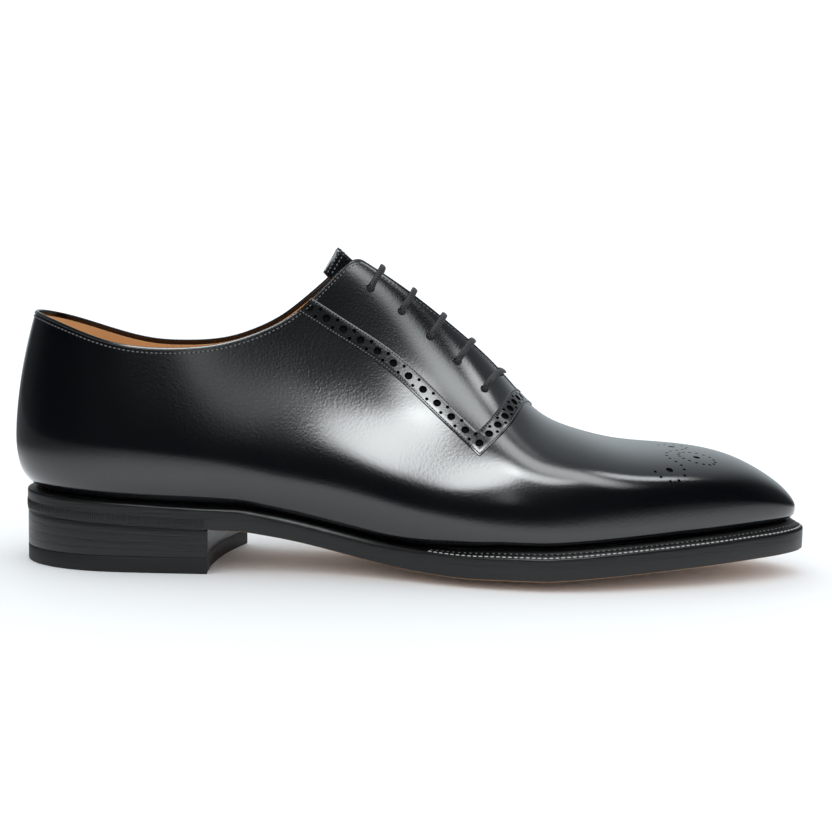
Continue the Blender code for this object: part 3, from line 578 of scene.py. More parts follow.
def run_through(rows, step):
    """(x, drop) points at even steps along a smooth curve through table rows."""
    travel = [0.0]
    for a, b in zip(rows, rows[1:]):
        travel.append(travel[-1] + math.hypot(b.x - a.x, b.drop - a.drop))
    xs = Curve(travel, [row.x for row in rows])
    drops = Curve(travel, [row.drop for row in rows])
    count = max(round(travel[-1] / step), 2)
    return [(xs(s), drops(s)) for s in spread(0.0, travel[-1], count + 1)]


def band_line(step):
    """Middle line of the band from the outer topline round to the inner one."""
    half = run_through(BAND_LONG, step) + run_through(BAND_SHORT, step)[1:]
    outer = [(x, -drop) for x, drop in half]
    return outer + [(x, -drop) for x, drop in outer[-2::-1]]


def skewed(end, after):
    """End of the band with its upper corner drawn back and its lower one let out along the band."""
    corners = []
    for corner, ahead in zip(end, after):
        lower = abs(corner[1]) == max(abs(spot[1]) for spot in end)
        share = (-BAND_END_SKEW if lower else BAND_END_SKEW) / BAND_STEP
        corners.append(tuple(a + (b - a) * share for a, b in zip(corner, ahead)))
    return tuple(corners)


def lace_path():
    """Points along the lace: straight bars over the throat, runs under the facings between them."""
    path = []
    side = OUTER
    for i, bar in enumerate(BARS):
        ridge = (bar.ridge_x, 0.0)
        path.extend(eyelet_turn(eyelets(side)[i], ridge, True))
        for way in (side, -side):
            low = way * (bar.eyelet_drop - LACE_BEND)
            high = facing_drop(way, bar.ridge_x) - way * LACE_RADIUS
            drops = spread(low, high, 4)[1:]
            for drop in drops if way == side else drops[::-1]:
                path.append(raised(slanted(bar.ridge_x, drop), drop, LACE_OVER))
        side = -side
        path.extend(eyelet_turn(eyelets(side)[i], ridge, False))
        if i + 1 < len(BARS):
            here, after = eyelets(side)[i:i + 2]
            for share in (0.2, 0.5, 0.8):
                run = [a + (b - a) * share for a, b in zip(here, after)]
                path.append(raised(*run, -LACE_UNDER))
    return path


def eyelet_turn(hole, ridge, rising):
    """Lace points through one eyelet, from under the facing to the start of its bar, or back."""
    point, normal, _, _ = skin_frame(*hole)
    away = (skin(*ridge) - point)
    away = (away - normal * away.dot(normal)).normalized()
    turn = [point + normal * height for height in (-LACE_UNDER + LACE_BEND * 0.4, LACE_OVER - LACE_BEND)]
    for angle in (30, 60):
        angle = math.radians(angle)
        turn.append(point + away * LACE_BEND * (1 - math.cos(angle))
                    + normal * (LACE_OVER - LACE_BEND * (1 - math.sin(angle))))
    return turn if rising else turn[::-1]


# Finish of the upper
EDGE_BEVEL = 0.3          # rounding of cut leather edges
FEATHER_TUCK = 2.4        # the leather is drawn in a little more where it meets the welt
FEATHER_START = -0.5
BELOW_EDGE = 0.95         # place on a rib that gives the way down from its top edge
COLLAR_RISE = 118.0       # rows crowd between these two, where the topline turns into the facing
COLLAR_TOP = 136.0
UPPER_TOE = 282.0         # rows crowd from here to the tip
SOLE_TOE = 280.0
EYELET_DEPTH = 3.0        # of a punch, to each side of the skin
LINING_GAP = 0.05         # between outer leather and lining
LINING_LOW = -0.93
LINING_INSET = (          # below the top edge, by station
    (85.0, 112.0, 130.0, 197.0, 199.0),
    (1.5, 2.4, 12.0, 15.0, 0.0),
)
SOCK_INSET = 3.4          # of the insole from the feather edge
SOCK_ROUND = 0.5
SOCK_UP = 0.2             # faces that look up more than this are tan

# Finish of the band
BAND_FINE = 1.3           # step along the strip
BAND_SINK = 0.15          # the band is pressed into the upper
BAND_SHOWN = 0.85         # of its thickness
BAND_BORE = 3.1           # large holes, on its middle
BAND_PAIR_BORE = 1.35     # small holes between them
BAND_PAIR = 1.75          # small holes, to each side of the band's middle
BAND_PUNCH = 1.6          # depth of a punch through the strip
BAND_PUNCH_LIFT = 0.3
BAND_MARK = 0.6           # depth of the same punch in the upper below
BAND_TRACK = 0.5          # step that measures along a leg of the band
BAND_HALF_PROFILE = (     # shares of its half width and thickness, from the middle to the edge
    (0.0, 1.0), (0.45, 1.0), (0.9, 1.0), (0.97, 0.85), (1.0, 0.55), (1.0, 0.0))
BAND_PROFILE = tuple((-share, height) for share, height in BAND_HALF_PROFILE[:0:-1]) + BAND_HALF_PROFILE

# Holes of a leg of the band, from its corner: step and number of the large ones, first half step punched.
Leg = namedtuple("Leg", "rows pitch count first")
BAND_LEGS = (
    Leg(BAND_LONG, 7.55, 11, 0),
    Leg(BAND_SHORT, 5.5, 9, 2),
)

# Toe ornament: a ring round the middle hole and a curl to each side.
# A curl's drop is measured from the middle hole; bore is the diameter.
Punch = namedtuple("Punch", "x drop bore")
TOE_MIDDLE = Punch(261.5, -25.0, 2.8)
TOE_DEPTH = 0.7
TOE_RING = 6.8
TOE_RING_HOLES = 16
TOE_SKEW = 0.42           # the far curl lies further forward
TOE_DOT = 1.25
TOE_CURL = (
    Punch(248.3, 16.2, 2.8),
    Punch(242.6, 18.5, TOE_DOT),
    Punch(244.4, 21.0, TOE_DOT),
    Punch(247.9, 22.3, TOE_DOT),
    Punch(251.2, 21.1, TOE_DOT),
    Punch(253.8, 18.0, TOE_DOT),
    Punch(254.2, 14.3, TOE_DOT),
    Punch(253.6, 11.4, TOE_DOT),
    Punch(252.1, 8.5, TOE_DOT),
    Punch(250.3, 5.6, TOE_DOT),
    Punch(249.7, 2.1, TOE_DOT),
)

# Finish of the lace
LACE_STEP = 0.6
LACE_SIDES = 14
LACE_NARROW = 0.85        # its half width inside an eyelet
LACE_FLAT = 0.4           # of the lace's height, pressed out where it crosses the throat
LACE_ROUND = 7.0          # way round the cord for its weave

# Finish of welt, sole and heel
BED = GAP * 0.3           # what is left of the gap between welt and outsole
WELT_ROUND = 0.8          # of its upper edge, at least
WELT_LAP = 0.12           # the welt's foot laps over the outsole
WELT_FOOT = 0.6           # share of the upright edge with a row of points
WELT_SEAM = 1.1           # inset of the stitches
WELT_WHEEL = 3.1          # inset of the wheel marks
WELT_GROOVE = 0.3         # depth of the channel for the stitches
WELT_GROOVE_START = 150.0
WELT_GROOVE_RUN = 15.0
WELT_FACE = (             # inset and share of the groove's depth
    (0.6, 0.0), (WELT_SEAM, 1.0), (1.6, 0.0), (2.6, 0.0), (WELT_WHEEL, 0.7), (3.6, 0.0))
WELT_FACE_STEP = 0.1      # keeps the face's points inside a broad bevel, in their order
SOLE_ROUND = 0.45         # of the tread's edge
SOLE_ROUND_END = 2.0      # from the tip
SOLE_DOWN = -0.6          # faces that look down more than this are natural leather
HEEL_SEAM = GAP * 0.4     # of the gap above and below the lifts
HEEL_MIDDLE = 4.0         # behind the widest place
HEEL_LIFTS = 4
HEEL_JOINT = 0.012        # half height of the groove between lifts, as a share of the stack
HEEL_GROOVE = 0.015
LIFT_ENDS = (0.1, 0.05)   # insets of the stack at its foot and head
TREAD_LEVELS = ((0.0, 0.5), (0.03, 0.15), (0.1, 0.0), (0.97, 0.0), (1.0, 0.12))    # height share and inset

# Seams
Stitch = namedtuple("Stitch", "length width height")
THREAD = Stitch(0.7, 0.55, 0.4)           # lengths of these two are shares of the pitch
# dark beads between the stitches paint the shade in the needle holes
NEEDLE_HOLE_SHADE = Stitch(0.42, 0.62, 0.16)
WELT_STITCH = Stitch(1.75, 0.75, 0.6)
WELT_DOT = Stitch(0.9, 0.5, 0.4)
SEAT_MARK = Stitch(0.5, 3.6, 0.4)
STITCH_LIFT = 0.05        # of a stitch's middle over the leather
WELT_STITCH_LIFT = 0.1
EDGE_SEAM = 2.2           # from the top edge
EDGE_PITCH = 1.7
EDGE_BEAD = 0.85
BEAD_RADIUS = 0.32
BEAD_SIDES = 8
TONGUE_SEAMS = (1.6, 3.0)
BAND_SEAM = 0.75          # from the band's edge
BAND_SEAM_CLEAR = 0.95    # of its way to the middle line; nearer points have folded over a corner
WELT_SEAM_START = 158.0
SEAT_WHEEL_Z = 2.4
SEAT_WHEEL_END = 8.0      # behind the front of the seat
SEAT_PITCH = 0.85

# Stage
ROOM_WHITE = (0.95, 0.99, 1.02, 1.0)
ROOM_STRENGTH = 1.25
MIRRORED_WHITE = (0.9, 0.99, 1.04, 1.0)
MIRRORED_BACK = ((-0.35, 0.02), (0.35, 0.48))     # strength of the mirrored room, from front to back
MIRRORED_ENDS = ((0.4, 1.0), (0.8, 0.12))         # and towards both ends of the shoe
FLOOR_REACH = 4000.0
FLOOR_DROP = 0.05
FLOOR_WHITE = "fafafa"
# painted shade: in reflections the floor's colour runs from the first value to the second with distance in
# metres
FLOOR_REFLECTION_SHADE = ((0.15, 0.95), (0.45, 0.12))     # the leather mirrors less of the floor further away
LIGHT_COLOUR = (0.95, 0.99, 1.0)
LIGHT_AIM = (150.0, -20.0, 50.0)
SENSOR = 36.0
NEAR_CLIP = 0.01

# place is in the maker's millimetres, width and depth in metres, lean in degrees.
# core is the evenly lit part, as a share of the width.
Softbox = namedtuple("Softbox", "name power place width depth lean core")
SOFTBOXES = (
    Softbox("strip softbox", "strip", (60.0, -2005.0, 2290.0), 0.76, 2.45, -22.0, 0.3),
    Softbox("overhead scrim", "scrim", (1030.0, -930.0, 2760.0), 1.05, 3.3, -6.0, 0.16),
    Softbox("low fill", "fill", (165.0, -2680.0, 1430.0), 0.3, 1.3, 0.0, 0.2),
    Softbox("waist light", "waist", (690.0, -1675.0, 2490.0), 0.95, 0.95, 0.0, 0.2),
    Softbox("toe light", "toe", (1550.0, -180.0, 2690.0), 1.1, 1.1, 0.0, 0.12),
)


def linear(code):
    """Linear colour of an sRGB hex code."""
    parts = [int(code[i:i + 2], 16) / 255 for i in (0, 2, 4)]
    return tuple(c / 12.92 if c <= 0.04045 else ((c + 0.055) / 1.055) ** 2.4 for c in parts)


def add_node(tree, kind, inputs=None, **settings):
    """Add a node with its settings; an input is a value, or the output that links to it."""
    made = tree.nodes.new(kind)
    for name, value in settings.items():
        setattr(made, name, value)
    for key, value in (inputs or {}).items():
        if isinstance(value, bpy.types.NodeSocket):
            tree.links.new(value, made.inputs[key])
        else:
            made.inputs[key].default_value = value
    return made


def start_material(name, colour, roughness, **sockets):
    """Material with constants on its shader's own sockets, and its tree, shader and Object coordinates."""
    material = bpy.data.materials.new(name)
    material.use_nodes = True
    tree = material.node_tree
    shader = tree.nodes["Principled BSDF"]
    shader.inputs["Base Color"].default_value = (*colour, 1.0)
    shader.inputs["Roughness"].default_value = roughness
    for key, value in sockets.items():
        shader.inputs[key.replace("_", " ")].default_value = value
    place = add_node(tree, "ShaderNodeTexCoord").outputs["Object"]
    return material, tree, shader, place


def per_mm(size):
    """Texture scale for a pattern of a size in millimetres, on coordinates in metres."""
    return 1 / (size * MM)


def noise(tree, place, size, detail=2.0):
    """Noise of a size in millimetres."""
    return add_node(tree, "ShaderNodeTexNoise", {
        "Vector": place, "Scale": per_mm(size), "Detail": detail}).outputs[0]


def stretched(tree, place, scale):
    return add_node(tree, "ShaderNodeMapping", {"Vector": place, "Scale": scale}).outputs[0]


def combined(tree, operation, *values):
    """Result of a sum or the like on outputs."""
    return add_node(tree, "ShaderNodeMath", dict(enumerate(values)), operation=operation).outputs[0]


def eased(tree, value, start, stop):
    """Smooth step between two (value, result) pairs, held outside them."""
    return add_node(tree, "ShaderNodeMapRange", {
        "Value": value, "From Min": start[0], "From Max": stop[0], "To Min": start[1], "To Max": stop[1],
    }, interpolation_type="SMOOTHSTEP").outputs[0]


def bump(tree, height, strength, depth, **over):
    """Normal of a relief with a depth in millimetres."""
    return add_node(tree, "ShaderNodeBump", {
        "Strength": strength, "Distance": depth * MM, "Height": height, **over}).outputs[0]


def set_relief(tree, shader, normal):
    tree.links.new(normal, shader.inputs["Normal"])


def set_tint(tree, shader, share, colour, dark, light):
    """Base colour that runs between two multiples of one colour."""
    ends = [(*(min(c * factor, 1.0) for c in colour), 1.0) for factor in (dark, light)]
    mix = add_node(tree, "ShaderNodeMix", {0: share, 6: ends[0], 7: ends[1]}, data_type="RGBA")
    tree.links.new(mix.outputs[2], shader.inputs["Base Color"])


def set_gloss(tree, shader, share, gloss, low, high):
    """Roughness that runs between two multiples of one gloss."""
    span = add_node(tree, "ShaderNodeMapRange", {
        "Value": share, "To Min": gloss * low, "To Max": gloss * high})
    tree.links.new(span.outputs[0], shader.inputs["Roughness"])


def calf(name, colour, gloss):
    """Box calf, glazed and waxed: near black, a soft broad shine broken by a fine grain."""
    material, tree, shader, place = start_material(
        name, colour, gloss, Coat_Weight=0.9, Coat_Roughness=0.12, Specular_IOR_Level=0.5)
    cells = add_node(tree, "ShaderNodeTexVoronoi", {
        "Vector": place, "Scale": per_mm(0.9)}, feature="SMOOTH_F1").outputs["Distance"]
    drape = noise(tree, place, 16.0, 0.0)
    grain = bump(tree, combined(tree, "ADD", cells, noise(tree, place, 0.7)), 0.3, 0.08)
    set_relief(tree, shader, bump(tree, drape, 0.15, 0.2, Normal=grain))
    set_gloss(tree, shader, drape, gloss, 0.85, 1.15)
    return material


def lining_leather(name, colour):
    """Undyed kip lining: warm tan, dull, with a fine pore and faint cloudy staining."""
    material, tree, shader, place = start_material(name, colour, 0.55)
    set_tint(tree, shader, noise(tree, place, 22.0, 4.0), colour, 0.82, 1.12)
    set_relief(tree, shader, bump(tree, noise(tree, place, 0.5, 3.0), 0.4, 0.08))
    return material


def sole_leather(name, colour):
    """Oak-bark tanned sole bend: pale tan, buffed, with fibres along the foot and darker clouds."""
    material, tree, shader, place = start_material(name, colour, 0.5)
    fibre = noise(tree, stretched(tree, place, (0.12, 1.0, 1.0)), 0.8, 5.0)
    cloud = noise(tree, place, 30.0, 4.0)
    set_tint(tree, shader, combined(tree, "MULTIPLY", fibre, cloud), colour, 0.7, 1.5)
    set_relief(tree, shader, bump(tree, fibre, 0.3, 0.1))
    return material


def edge_leather(name, colour, gloss):
    """Sole edge, inked black, ironed and waxed: satin, with the leather's layers as fine level streaks."""
    material, tree, shader, place = start_material(name, colour, gloss, Specular_IOR_Level=0.5)
    layers = noise(tree, stretched(tree, place, (0.06, 0.06, 1.0)), 0.7, 3.0)
    set_relief(tree, shader, bump(tree, layers, 0.6, 0.15))
    set_gloss(tree, shader, layers, gloss, 0.8, 1.25)
    return material


def heel_rubber(name, colour):
    """Moulded rubber top piece: matt black with a fine grit."""
    material, tree, shader, place = start_material(name, colour, 0.6, Specular_IOR_Level=0.4)
    set_relief(tree, shader, bump(tree, noise(tree, place, 0.4), 0.4, 0.08))
    return material


def thread(name, colour):
    """Waxed thread: dull, its strands a fine relief drawn coarse enough to show."""
    material, tree, shader, place = start_material(name, colour, 0.5, Sheen_Weight=0.1)
    set_relief(tree, shader, bump(tree, noise(tree, place, 0.25), 0.5, 0.1))
    return material


def woven_lace(name, colour):
    """Round waxed cotton lace: a plait whose crossing strands show as a fine diagonal check, in relief and as
    painted shade in its hollows and painted highlight on its strands.
    """
    material, tree, shader, _ = start_material(name, colour, 0.55, Sheen_Weight=0.15)
    along = add_node(tree, "ShaderNodeUVMap", uv_map="lace").outputs[0]
    strands = []
    for turn in (0.6, -0.6):
        laid = add_node(tree, "ShaderNodeMapping", {"Vector": along, "Rotation": (0.0, 0.0, turn)})
        strands.append(add_node(tree, "ShaderNodeTexWave", {
            "Vector": laid.outputs[0], "Scale": 0.32, "Distortion": 0.6}).outputs["Fac"])
    plait_relief_and_shade = combined(tree, "MULTIPLY", *strands)
    # painted shade and highlight: the colour darkens in the plait's hollows and lightens on its raised
    # strands
    set_tint(tree, shader, plait_relief_and_shade, colour, 0.45, 2.2)
    set_relief(tree, shader, bump(tree, plait_relief_and_shade, 0.7, 0.25))
    return material


def raw_cut(name, colour):
    """Cut leather inside a punched hole: fibrous, inked, without shine."""
    return start_material(name, colour, 0.85, Specular_IOR_Level=0.15)[0]


def white_floor(name, code):
    """Paper sweep: bright and matt; in reflections its colour darkens with distance, a painted shade, so the
    polished leather mirrors only the part close by.
    """
    material, tree, shader, place = start_material(name, linear(code), 0.7, Specular_IOR_Level=0.2)
    away = add_node(tree, "ShaderNodeVectorMath", {0: place}, operation="LENGTH").outputs["Value"]
    # painted shade for reflections: the floor darkens away from the shoe
    painted_reflection_shade = eased(tree, away, *FLOOR_REFLECTION_SHADE)
    glossy = add_node(tree, "ShaderNodeLightPath").outputs["Is Glossy Ray"]
    shade = add_node(tree, "ShaderNodeMix", {
        0: glossy, 6: (*linear(code), 1.0), 7: painted_reflection_shade}, data_type="RGBA")
    tree.links.new(shade.outputs[2], shader.inputs["Base Color"])
    return material


def shared(build, name, *values):
    """A material made once and used by several pieces."""
    return bpy.data.materials.get(name) or build(name, *values)


def add_object(name, data):
    thing = bpy.data.objects.new(name, data)
    bpy.context.scene.collection.objects.link(thing)
    return thing


def mesh_object(name, points, faces, materials):
    """Smooth object at the origin from millimetre points; coincident points are welded."""
    mesh = bpy.data.meshes.new(name)
    mesh.from_pydata([placed(p) for p in points], [], faces)
    work = bmesh.new()
    work.from_mesh(mesh)
    bmesh.ops.remove_doubles(work, verts=work.verts, dist=WELD)
    bmesh.ops.dissolve_degenerate(work, edges=work.edges, dist=WELD)
    work.to_mesh(mesh)
    work.free()
    for polygon in mesh.polygons:
        polygon.use_smooth = True
    for material in materials:
        mesh.materials.append(material)
    return add_object(name, mesh)


def face_out(thing):
    """Turn a closed mesh's faces outward."""
    work = bmesh.new()
    work.from_mesh(thing.data)
    bmesh.ops.recalc_face_normals(work, faces=work.faces)
    work.to_mesh(thing.data)
    work.free()


def settle(thing, crease=math.radians(38)):
    """Put the modifiers into the mesh and shade it smooth but for edges past the crease angle."""
    bpy.context.view_layer.update()
    graph = bpy.context.evaluated_depsgraph_get()
    mesh = bpy.data.meshes.new_from_object(thing.evaluated_get(graph))
    thing.modifiers.clear()
    thing.data = mesh
    mesh.name = thing.name
    for polygon in mesh.polygons:
        polygon.use_smooth = True
    mesh.set_sharp_from_angle(angle=crease)


def round_edges(thing, width, limit="ANGLE"):
    bevel = thing.modifiers.new("rounded edges", "BEVEL")
    bevel.width = width * MM
    bevel.segments = 2
    bevel.limit_method = limit
    bevel.angle_limit = math.radians(50)
    bevel.use_clamp_overlap = False


def thicken(thing, thickness, inner=0):
    """Thickness behind an open skin; inner is the material slot of the back."""
    shell = thing.modifiers.new("thickness", "SOLIDIFY")
    shell.thickness = thickness * MM
    shell.offset = -1
    shell.material_offset = inner


def grid_faces(first, rows, columns, flipped=False):
    """Faces of a grid of points whose first point has an index."""
    faces = []
    for i in range(rows - 1):
        for j in range(columns - 1):
            a = first + i * columns + j
            b = a + columns
            faces.append((a, a + 1, b + 1, b) if flipped else (a, b, b + 1, a + 1))
    return faces


def ring_faces(count, size, closed):
    """Faces that join loops of points one after another; an open row of loops is capped."""
    faces = []
    for i in range(count if closed else count - 1):
        for j in range(size):
            a, b = i * size, (i + 1) % count * size
            k = (j + 1) % size
            faces.append((a + j, a + k, b + k, b + j))
    if not closed:
        faces.append(tuple(range(size)))
        faces.append(tuple((count - 1) * size + j for j in range(size)))
    return faces


def loops_object(name, loops, closed, materials):
    points = [p for loop in loops for p in loop]
    thing = mesh_object(name, points, ring_faces(len(loops), len(loops[0]), closed), materials)
    face_out(thing)
    return thing


def slab_loop(spots, base, thick):
    """Section of a slab: along its underside and back along its top."""
    low = [(x, y, base(x, y)) for x, y in spots]
    return low + [(x, y, z + thick) for x, y, z in reversed(low)]


def directions(spots):
    """Way along a row of points at each of them."""
    return [after - before for before, after in zip(spots[:1] + spots[:-1], spots[1:] + spots[-1:])]


def finish_piece(thing, slot, *nodes):
    """Hand a finished piece to the frame."""
    if nodes:
        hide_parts(*nodes)
    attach(thing, "root")


def new_tree(name, **inputs):
    """Geometry node tree with inputs by name and socket type, and its input and output nodes."""
    tree = bpy.data.node_groups.new(name, "GeometryNodeTree")
    tree.interface.new_socket("Geometry", in_out="INPUT", socket_type="NodeSocketGeometry")
    for label, kind in inputs.items():
        tree.interface.new_socket(label, in_out="INPUT", socket_type="NodeSocket" + kind)
    tree.interface.new_socket("Geometry", in_out="OUTPUT", socket_type="NodeSocketGeometry")
    return tree, add_node(tree, "NodeGroupInput").outputs, add_node(tree, "NodeGroupOutput").inputs[0]


def add_tree(thing, tree, **values):
    """Give an object a tree, its inputs set by socket identifier."""
    modifier = thing.modifiers.new(tree.name, "NODES")
    modifier.node_group = tree
    for item in tree.interface.items_tree:
        if item.in_out == "INPUT" and item.name.lower() in values:
            modifier[item.identifier] = values[item.name.lower()]


def attribute(tree, name, kind="FLOAT"):
    return add_node(tree, "GeometryNodeInputNamedAttribute", {"Name": name}, data_type=kind).outputs[0]


def repeated(tree, points, shape, rotation, size, material):
    """A shape on every point, turned and sized (x, y, z), made real and given a material."""
    scale = add_node(tree, "ShaderNodeCombineXYZ", dict(enumerate(size)))
    copies = add_node(tree, "GeometryNodeInstanceOnPoints", {
        "Points": points, "Instance": shape, "Rotation": rotation, "Scale": scale.outputs[0]})
    real = add_node(tree, "GeometryNodeRealizeInstances", {"Geometry": copies.outputs[0]})
    return add_node(tree, "GeometryNodeSetMaterial", {
        "Geometry": real.outputs[0], "Material": material}).outputs[0]


def stitch_tree():
    """Stitches along a guide: its edges become curves, stepped by the pitch, each step a rounded stitch."""
    name = "stitch row"
    if name in bpy.data.node_groups:
        return bpy.data.node_groups[name]
    tree, given, result = new_tree(
        name, Pitch="Float", Length="Float", Width="Float", Height="Float", Start="Float",
        Material="Material")
    curve = add_node(tree, "GeometryNodeMeshToCurve", {"Mesh": given["Geometry"]})
    trimmed = add_node(tree, "GeometryNodeTrimCurve", {"Curve": curve.outputs[0]}, mode="LENGTH")
    start, end = [socket for socket in trimmed.inputs if socket.type == "VALUE" and socket.enabled]
    tree.links.new(given["Start"], start)
    end.default_value = 10.0
    steps = add_node(tree, "GeometryNodeResampleCurve", {
        "Curve": trimmed.outputs[0], "Length": given["Pitch"]}, mode="LENGTH")
    tangent = add_node(tree, "GeometryNodeInputTangent")
    aimed = add_node(tree, "FunctionNodeAlignRotationToVector", {"Vector": tangent.outputs[0]}, axis="X")
    level = add_node(tree, "FunctionNodeAlignRotationToVector", {
        "Rotation": aimed.outputs[0], "Vector": attribute(tree, "up", "FLOAT_VECTOR"),
    }, axis="Z", pivot_axis="X")
    bead = add_node(tree, "GeometryNodeMeshUVSphere", {"Segments": 8, "Rings": 6, "Radius": 0.5})
    sewn = repeated(tree, steps.outputs[0], bead.outputs[0], level.outputs[0],
                    (given["Length"], given["Width"], given["Height"]), given["Material"])
    tree.links.new(sewn, result)
    return tree


def punch_tree():
    """Holes punched in a piece at another object's points, each with its own bore, depth and direction."""
    name = "punched holes"
    if name in bpy.data.node_groups:
        return bpy.data.node_groups[name]
    tree, given, result = new_tree(name, Points="Object", Sides="Int", Material="Material", Folded="Bool")
    spots = add_node(tree, "GeometryNodeObjectInfo", {"Object": given["Points"]})
    aimed = add_node(tree, "FunctionNodeAlignRotationToVector", {
        "Vector": attribute(tree, "up", "FLOAT_VECTOR")}, axis="Z")
    bore = attribute(tree, "bore")
    die = add_node(tree, "GeometryNodeMeshCylinder", {
        "Vertices": given["Sides"], "Radius": 0.5, "Depth": 2.0})
    dies = repeated(tree, spots.outputs["Geometry"], die.outputs["Mesh"], aimed.outputs[0],
                    (bore, bore, attribute(tree, "depth")), given["Material"])
    cut = add_node(tree, "GeometryNodeMeshBoolean", {
        "Mesh 1": given["Geometry"], "Mesh 2": dies, "Self Intersection": given["Folded"],
    }, operation="DIFFERENCE", solver="EXACT")
    tree.links.new(cut.outputs["Mesh"], result)
    return tree


def set_attribute(mesh, name, kind, field, values):
    layer = mesh.attributes.new(name, kind, "POINT")
    layer.data.foreach_set(field, np.array(values, float).ravel())


def sew(name, rows, pitch, stitch, material, start=0.0):
    """Stitches along rows of (metre points, surface normals), as a mesh of their own."""
    mesh = bpy.data.meshes.new(name)
    points, edges, ups = [], [], []
    for spots, ways in rows:
        edges.extend((len(points) + i, len(points) + i + 1) for i in range(len(spots) - 1))
        points.extend(spots)
        ups.extend(ways)
    mesh.from_pydata(points, edges, [])
    set_attribute(mesh, "up", "FLOAT_VECTOR", "vector", ups)
    thing = add_object(name, mesh)
    add_tree(thing, stitch_tree(), pitch=pitch * MM, length=stitch.length * MM, width=stitch.width * MM,
             height=stitch.height * MM, start=start * MM, material=material)
    settle(thing, math.pi)
    thing.data.materials.clear()
    thing.data.materials.append(material)
    finish_piece(thing, None)


def punch(thing, spots, material, folded=False):
    """Cut holes given as (metre point, normal, bore, depth), the last two in millimetres.

    folded is for a mesh that crosses itself.
    """
    mesh = bpy.data.meshes.new("punches")
    mesh.from_pydata([spot[0] for spot in spots], [], [])
    set_attribute(mesh, "up", "FLOAT_VECTOR", "vector", [spot[1] for spot in spots])
    for label, column in (("bore", 2), ("depth", 3)):
        set_attribute(mesh, label, "FLOAT", "value", [spot[column] * MM for spot in spots])
    holder = add_object("punches", mesh)
    add_tree(thing, punch_tree(), points=holder, sides=14, material=material, folded=folded)
    settle(thing)
    bpy.data.objects.remove(holder)


def on_surface(tree, points, lift):
    """Points dropped on a surface and raised by a lift in millimetres, and the normals there."""
    spots, ups = [], []
    for point in points:
        where, normal, _, _ = tree.find_nearest(point)
        spots.append(where + normal * (lift * MM))
        ups.append(normal)
    return spots, ups


def surface_of(name):
    return BVHTree.FromObject(bpy.data.objects[name], bpy.context.evaluated_depsgraph_get())


def fine_stations():
    """Stations of the upper, as a rib takes them."""
    heel = [i / 40 - 1 for i in range(40)]
    collar = spread(HEEL_WIDEST, COLLAR_RISE, 36) + spread(COLLAR_RISE, COLLAR_TOP, 25)[1:]
    throat = spread(COLLAR_TOP, THROAT_END, 34)[1:]
    vamp = spread(THROAT_END, UPPER_TOE, 44)[1:]
    return heel + collar + throat + vamp + tip_stations(UPPER_TOE, LAST_TIP, 22)[1:]


def fine_sole_stations():
    heel = [HEEL_WIDEST - (HEEL_WIDEST - SOLE_BACK) * oval(i / 24)[0] for i in range(25)]
    waist = spread(HEEL_WIDEST, SEAT_FRONT, 16)[1:] + spread(SEAT_FRONT, FLAT_BACK, 46)[1:]
    fore = spread(FLAT_BACK, FLAT_FRONT, 10)[1:] + spread(FLAT_FRONT, SOLE_TOE, 34)[1:]
    return heel + waist + fore + tip_stations(SOLE_TOE, SOLE_TIP, 22)[1:]


def skin_loft(name, inset, materials, low=-1.0):
    """Open skin of the upper that stops short of its top edge by the inset at each station."""
    shares = spread(low, 0.0, 13) + spread(0.0, 1.0, 49)[1:]
    stations = fine_stations()
    points, faces = [], []
    for side in SIDES:
        faces += grid_faces(len(points), len(stations), len(shares), side == INNER)
        for station in stations:
            rib = Rib(side, station)
            top = 1 - inset(station) / max((rib.point(1.0) - rib.point(0.0)).length, 1.0)
            for v in shares:
                tuck = FEATHER_TUCK * max(FEATHER_START - v, 0.0) ** 2 / (1 + FEATHER_START) ** 2
                inward = Vector((*rib.normal, 0.0)) * tuck
                points.append(rib.point(v * top if v > 0 else v) - inward)
    return mesh_object(name, points, faces, materials)


def top_row(side, inset):
    """Metre points beside the upper's top edge, from the heel's back along collar and facing."""
    row = []
    for station in fine_stations():
        if station <= THROAT_END:
            rib = Rib(side, station)
            edge, below = rib.point(1.0), rib.point(BELOW_EDGE)
            row.append(placed(edge + (below - edge).normalized() * inset))
    return row


def eyelet_spots():
    """Eyelets as (metre point, normal, bore, depth)."""
    spots = []
    for side in SIDES:
        for hole in eyelets(side):
            point, normal, _, _ = skin_frame(*hole)
            spots.append((placed(point), normal, 2 * EYELET_RADIUS, EYELET_DEPTH))
    return spots


def band_track(rows):
    """Fine (x, drop) points along a leg of the band from its corner, and the way along it to each."""
    line = run_through(rows, BAND_TRACK)
    if rows is BAND_LONG:
        line = line[::-1]
    spots = [skin(x, -drop) for x, drop in line]
    steps = [(b - a).length for a, b in zip(spots, spots[1:])]
    return line, np.concatenate(([0.0], np.cumsum(steps)))


def band_spots(lift):
    """Holes of the band as (metre point, normal, bore): large ones on its middle, pairs between them."""
    spots = []
    for leg in BAND_LEGS:
        line, travel = band_track(leg.rows)
        xs, drops = zip(*line)
        for side in SIDES:
            for half in range(leg.first, 2 * leg.count + 2):
                way = half * leg.pitch / 2
                if way > travel[-1] - BAND_TRACK:
                    break
                near = [(float(np.interp(s, travel, xs)), side * float(np.interp(s, travel, drops)))
                        for s in (way - BAND_TRACK, way, way + BAND_TRACK)]
                point, normal, _, _ = skin_frame(*near[1])
                middle = point + normal * lift
                if half % 2 == 0:
                    spots.append((placed(middle), normal, BAND_BORE))
                    continue
                across = normal.cross(skin(*near[2]) - skin(*near[0])).normalized()
                for reach in (-BAND_PAIR, BAND_PAIR):
                    spots.append((placed(middle + across * reach), normal, BAND_PAIR_BORE))
    return spots


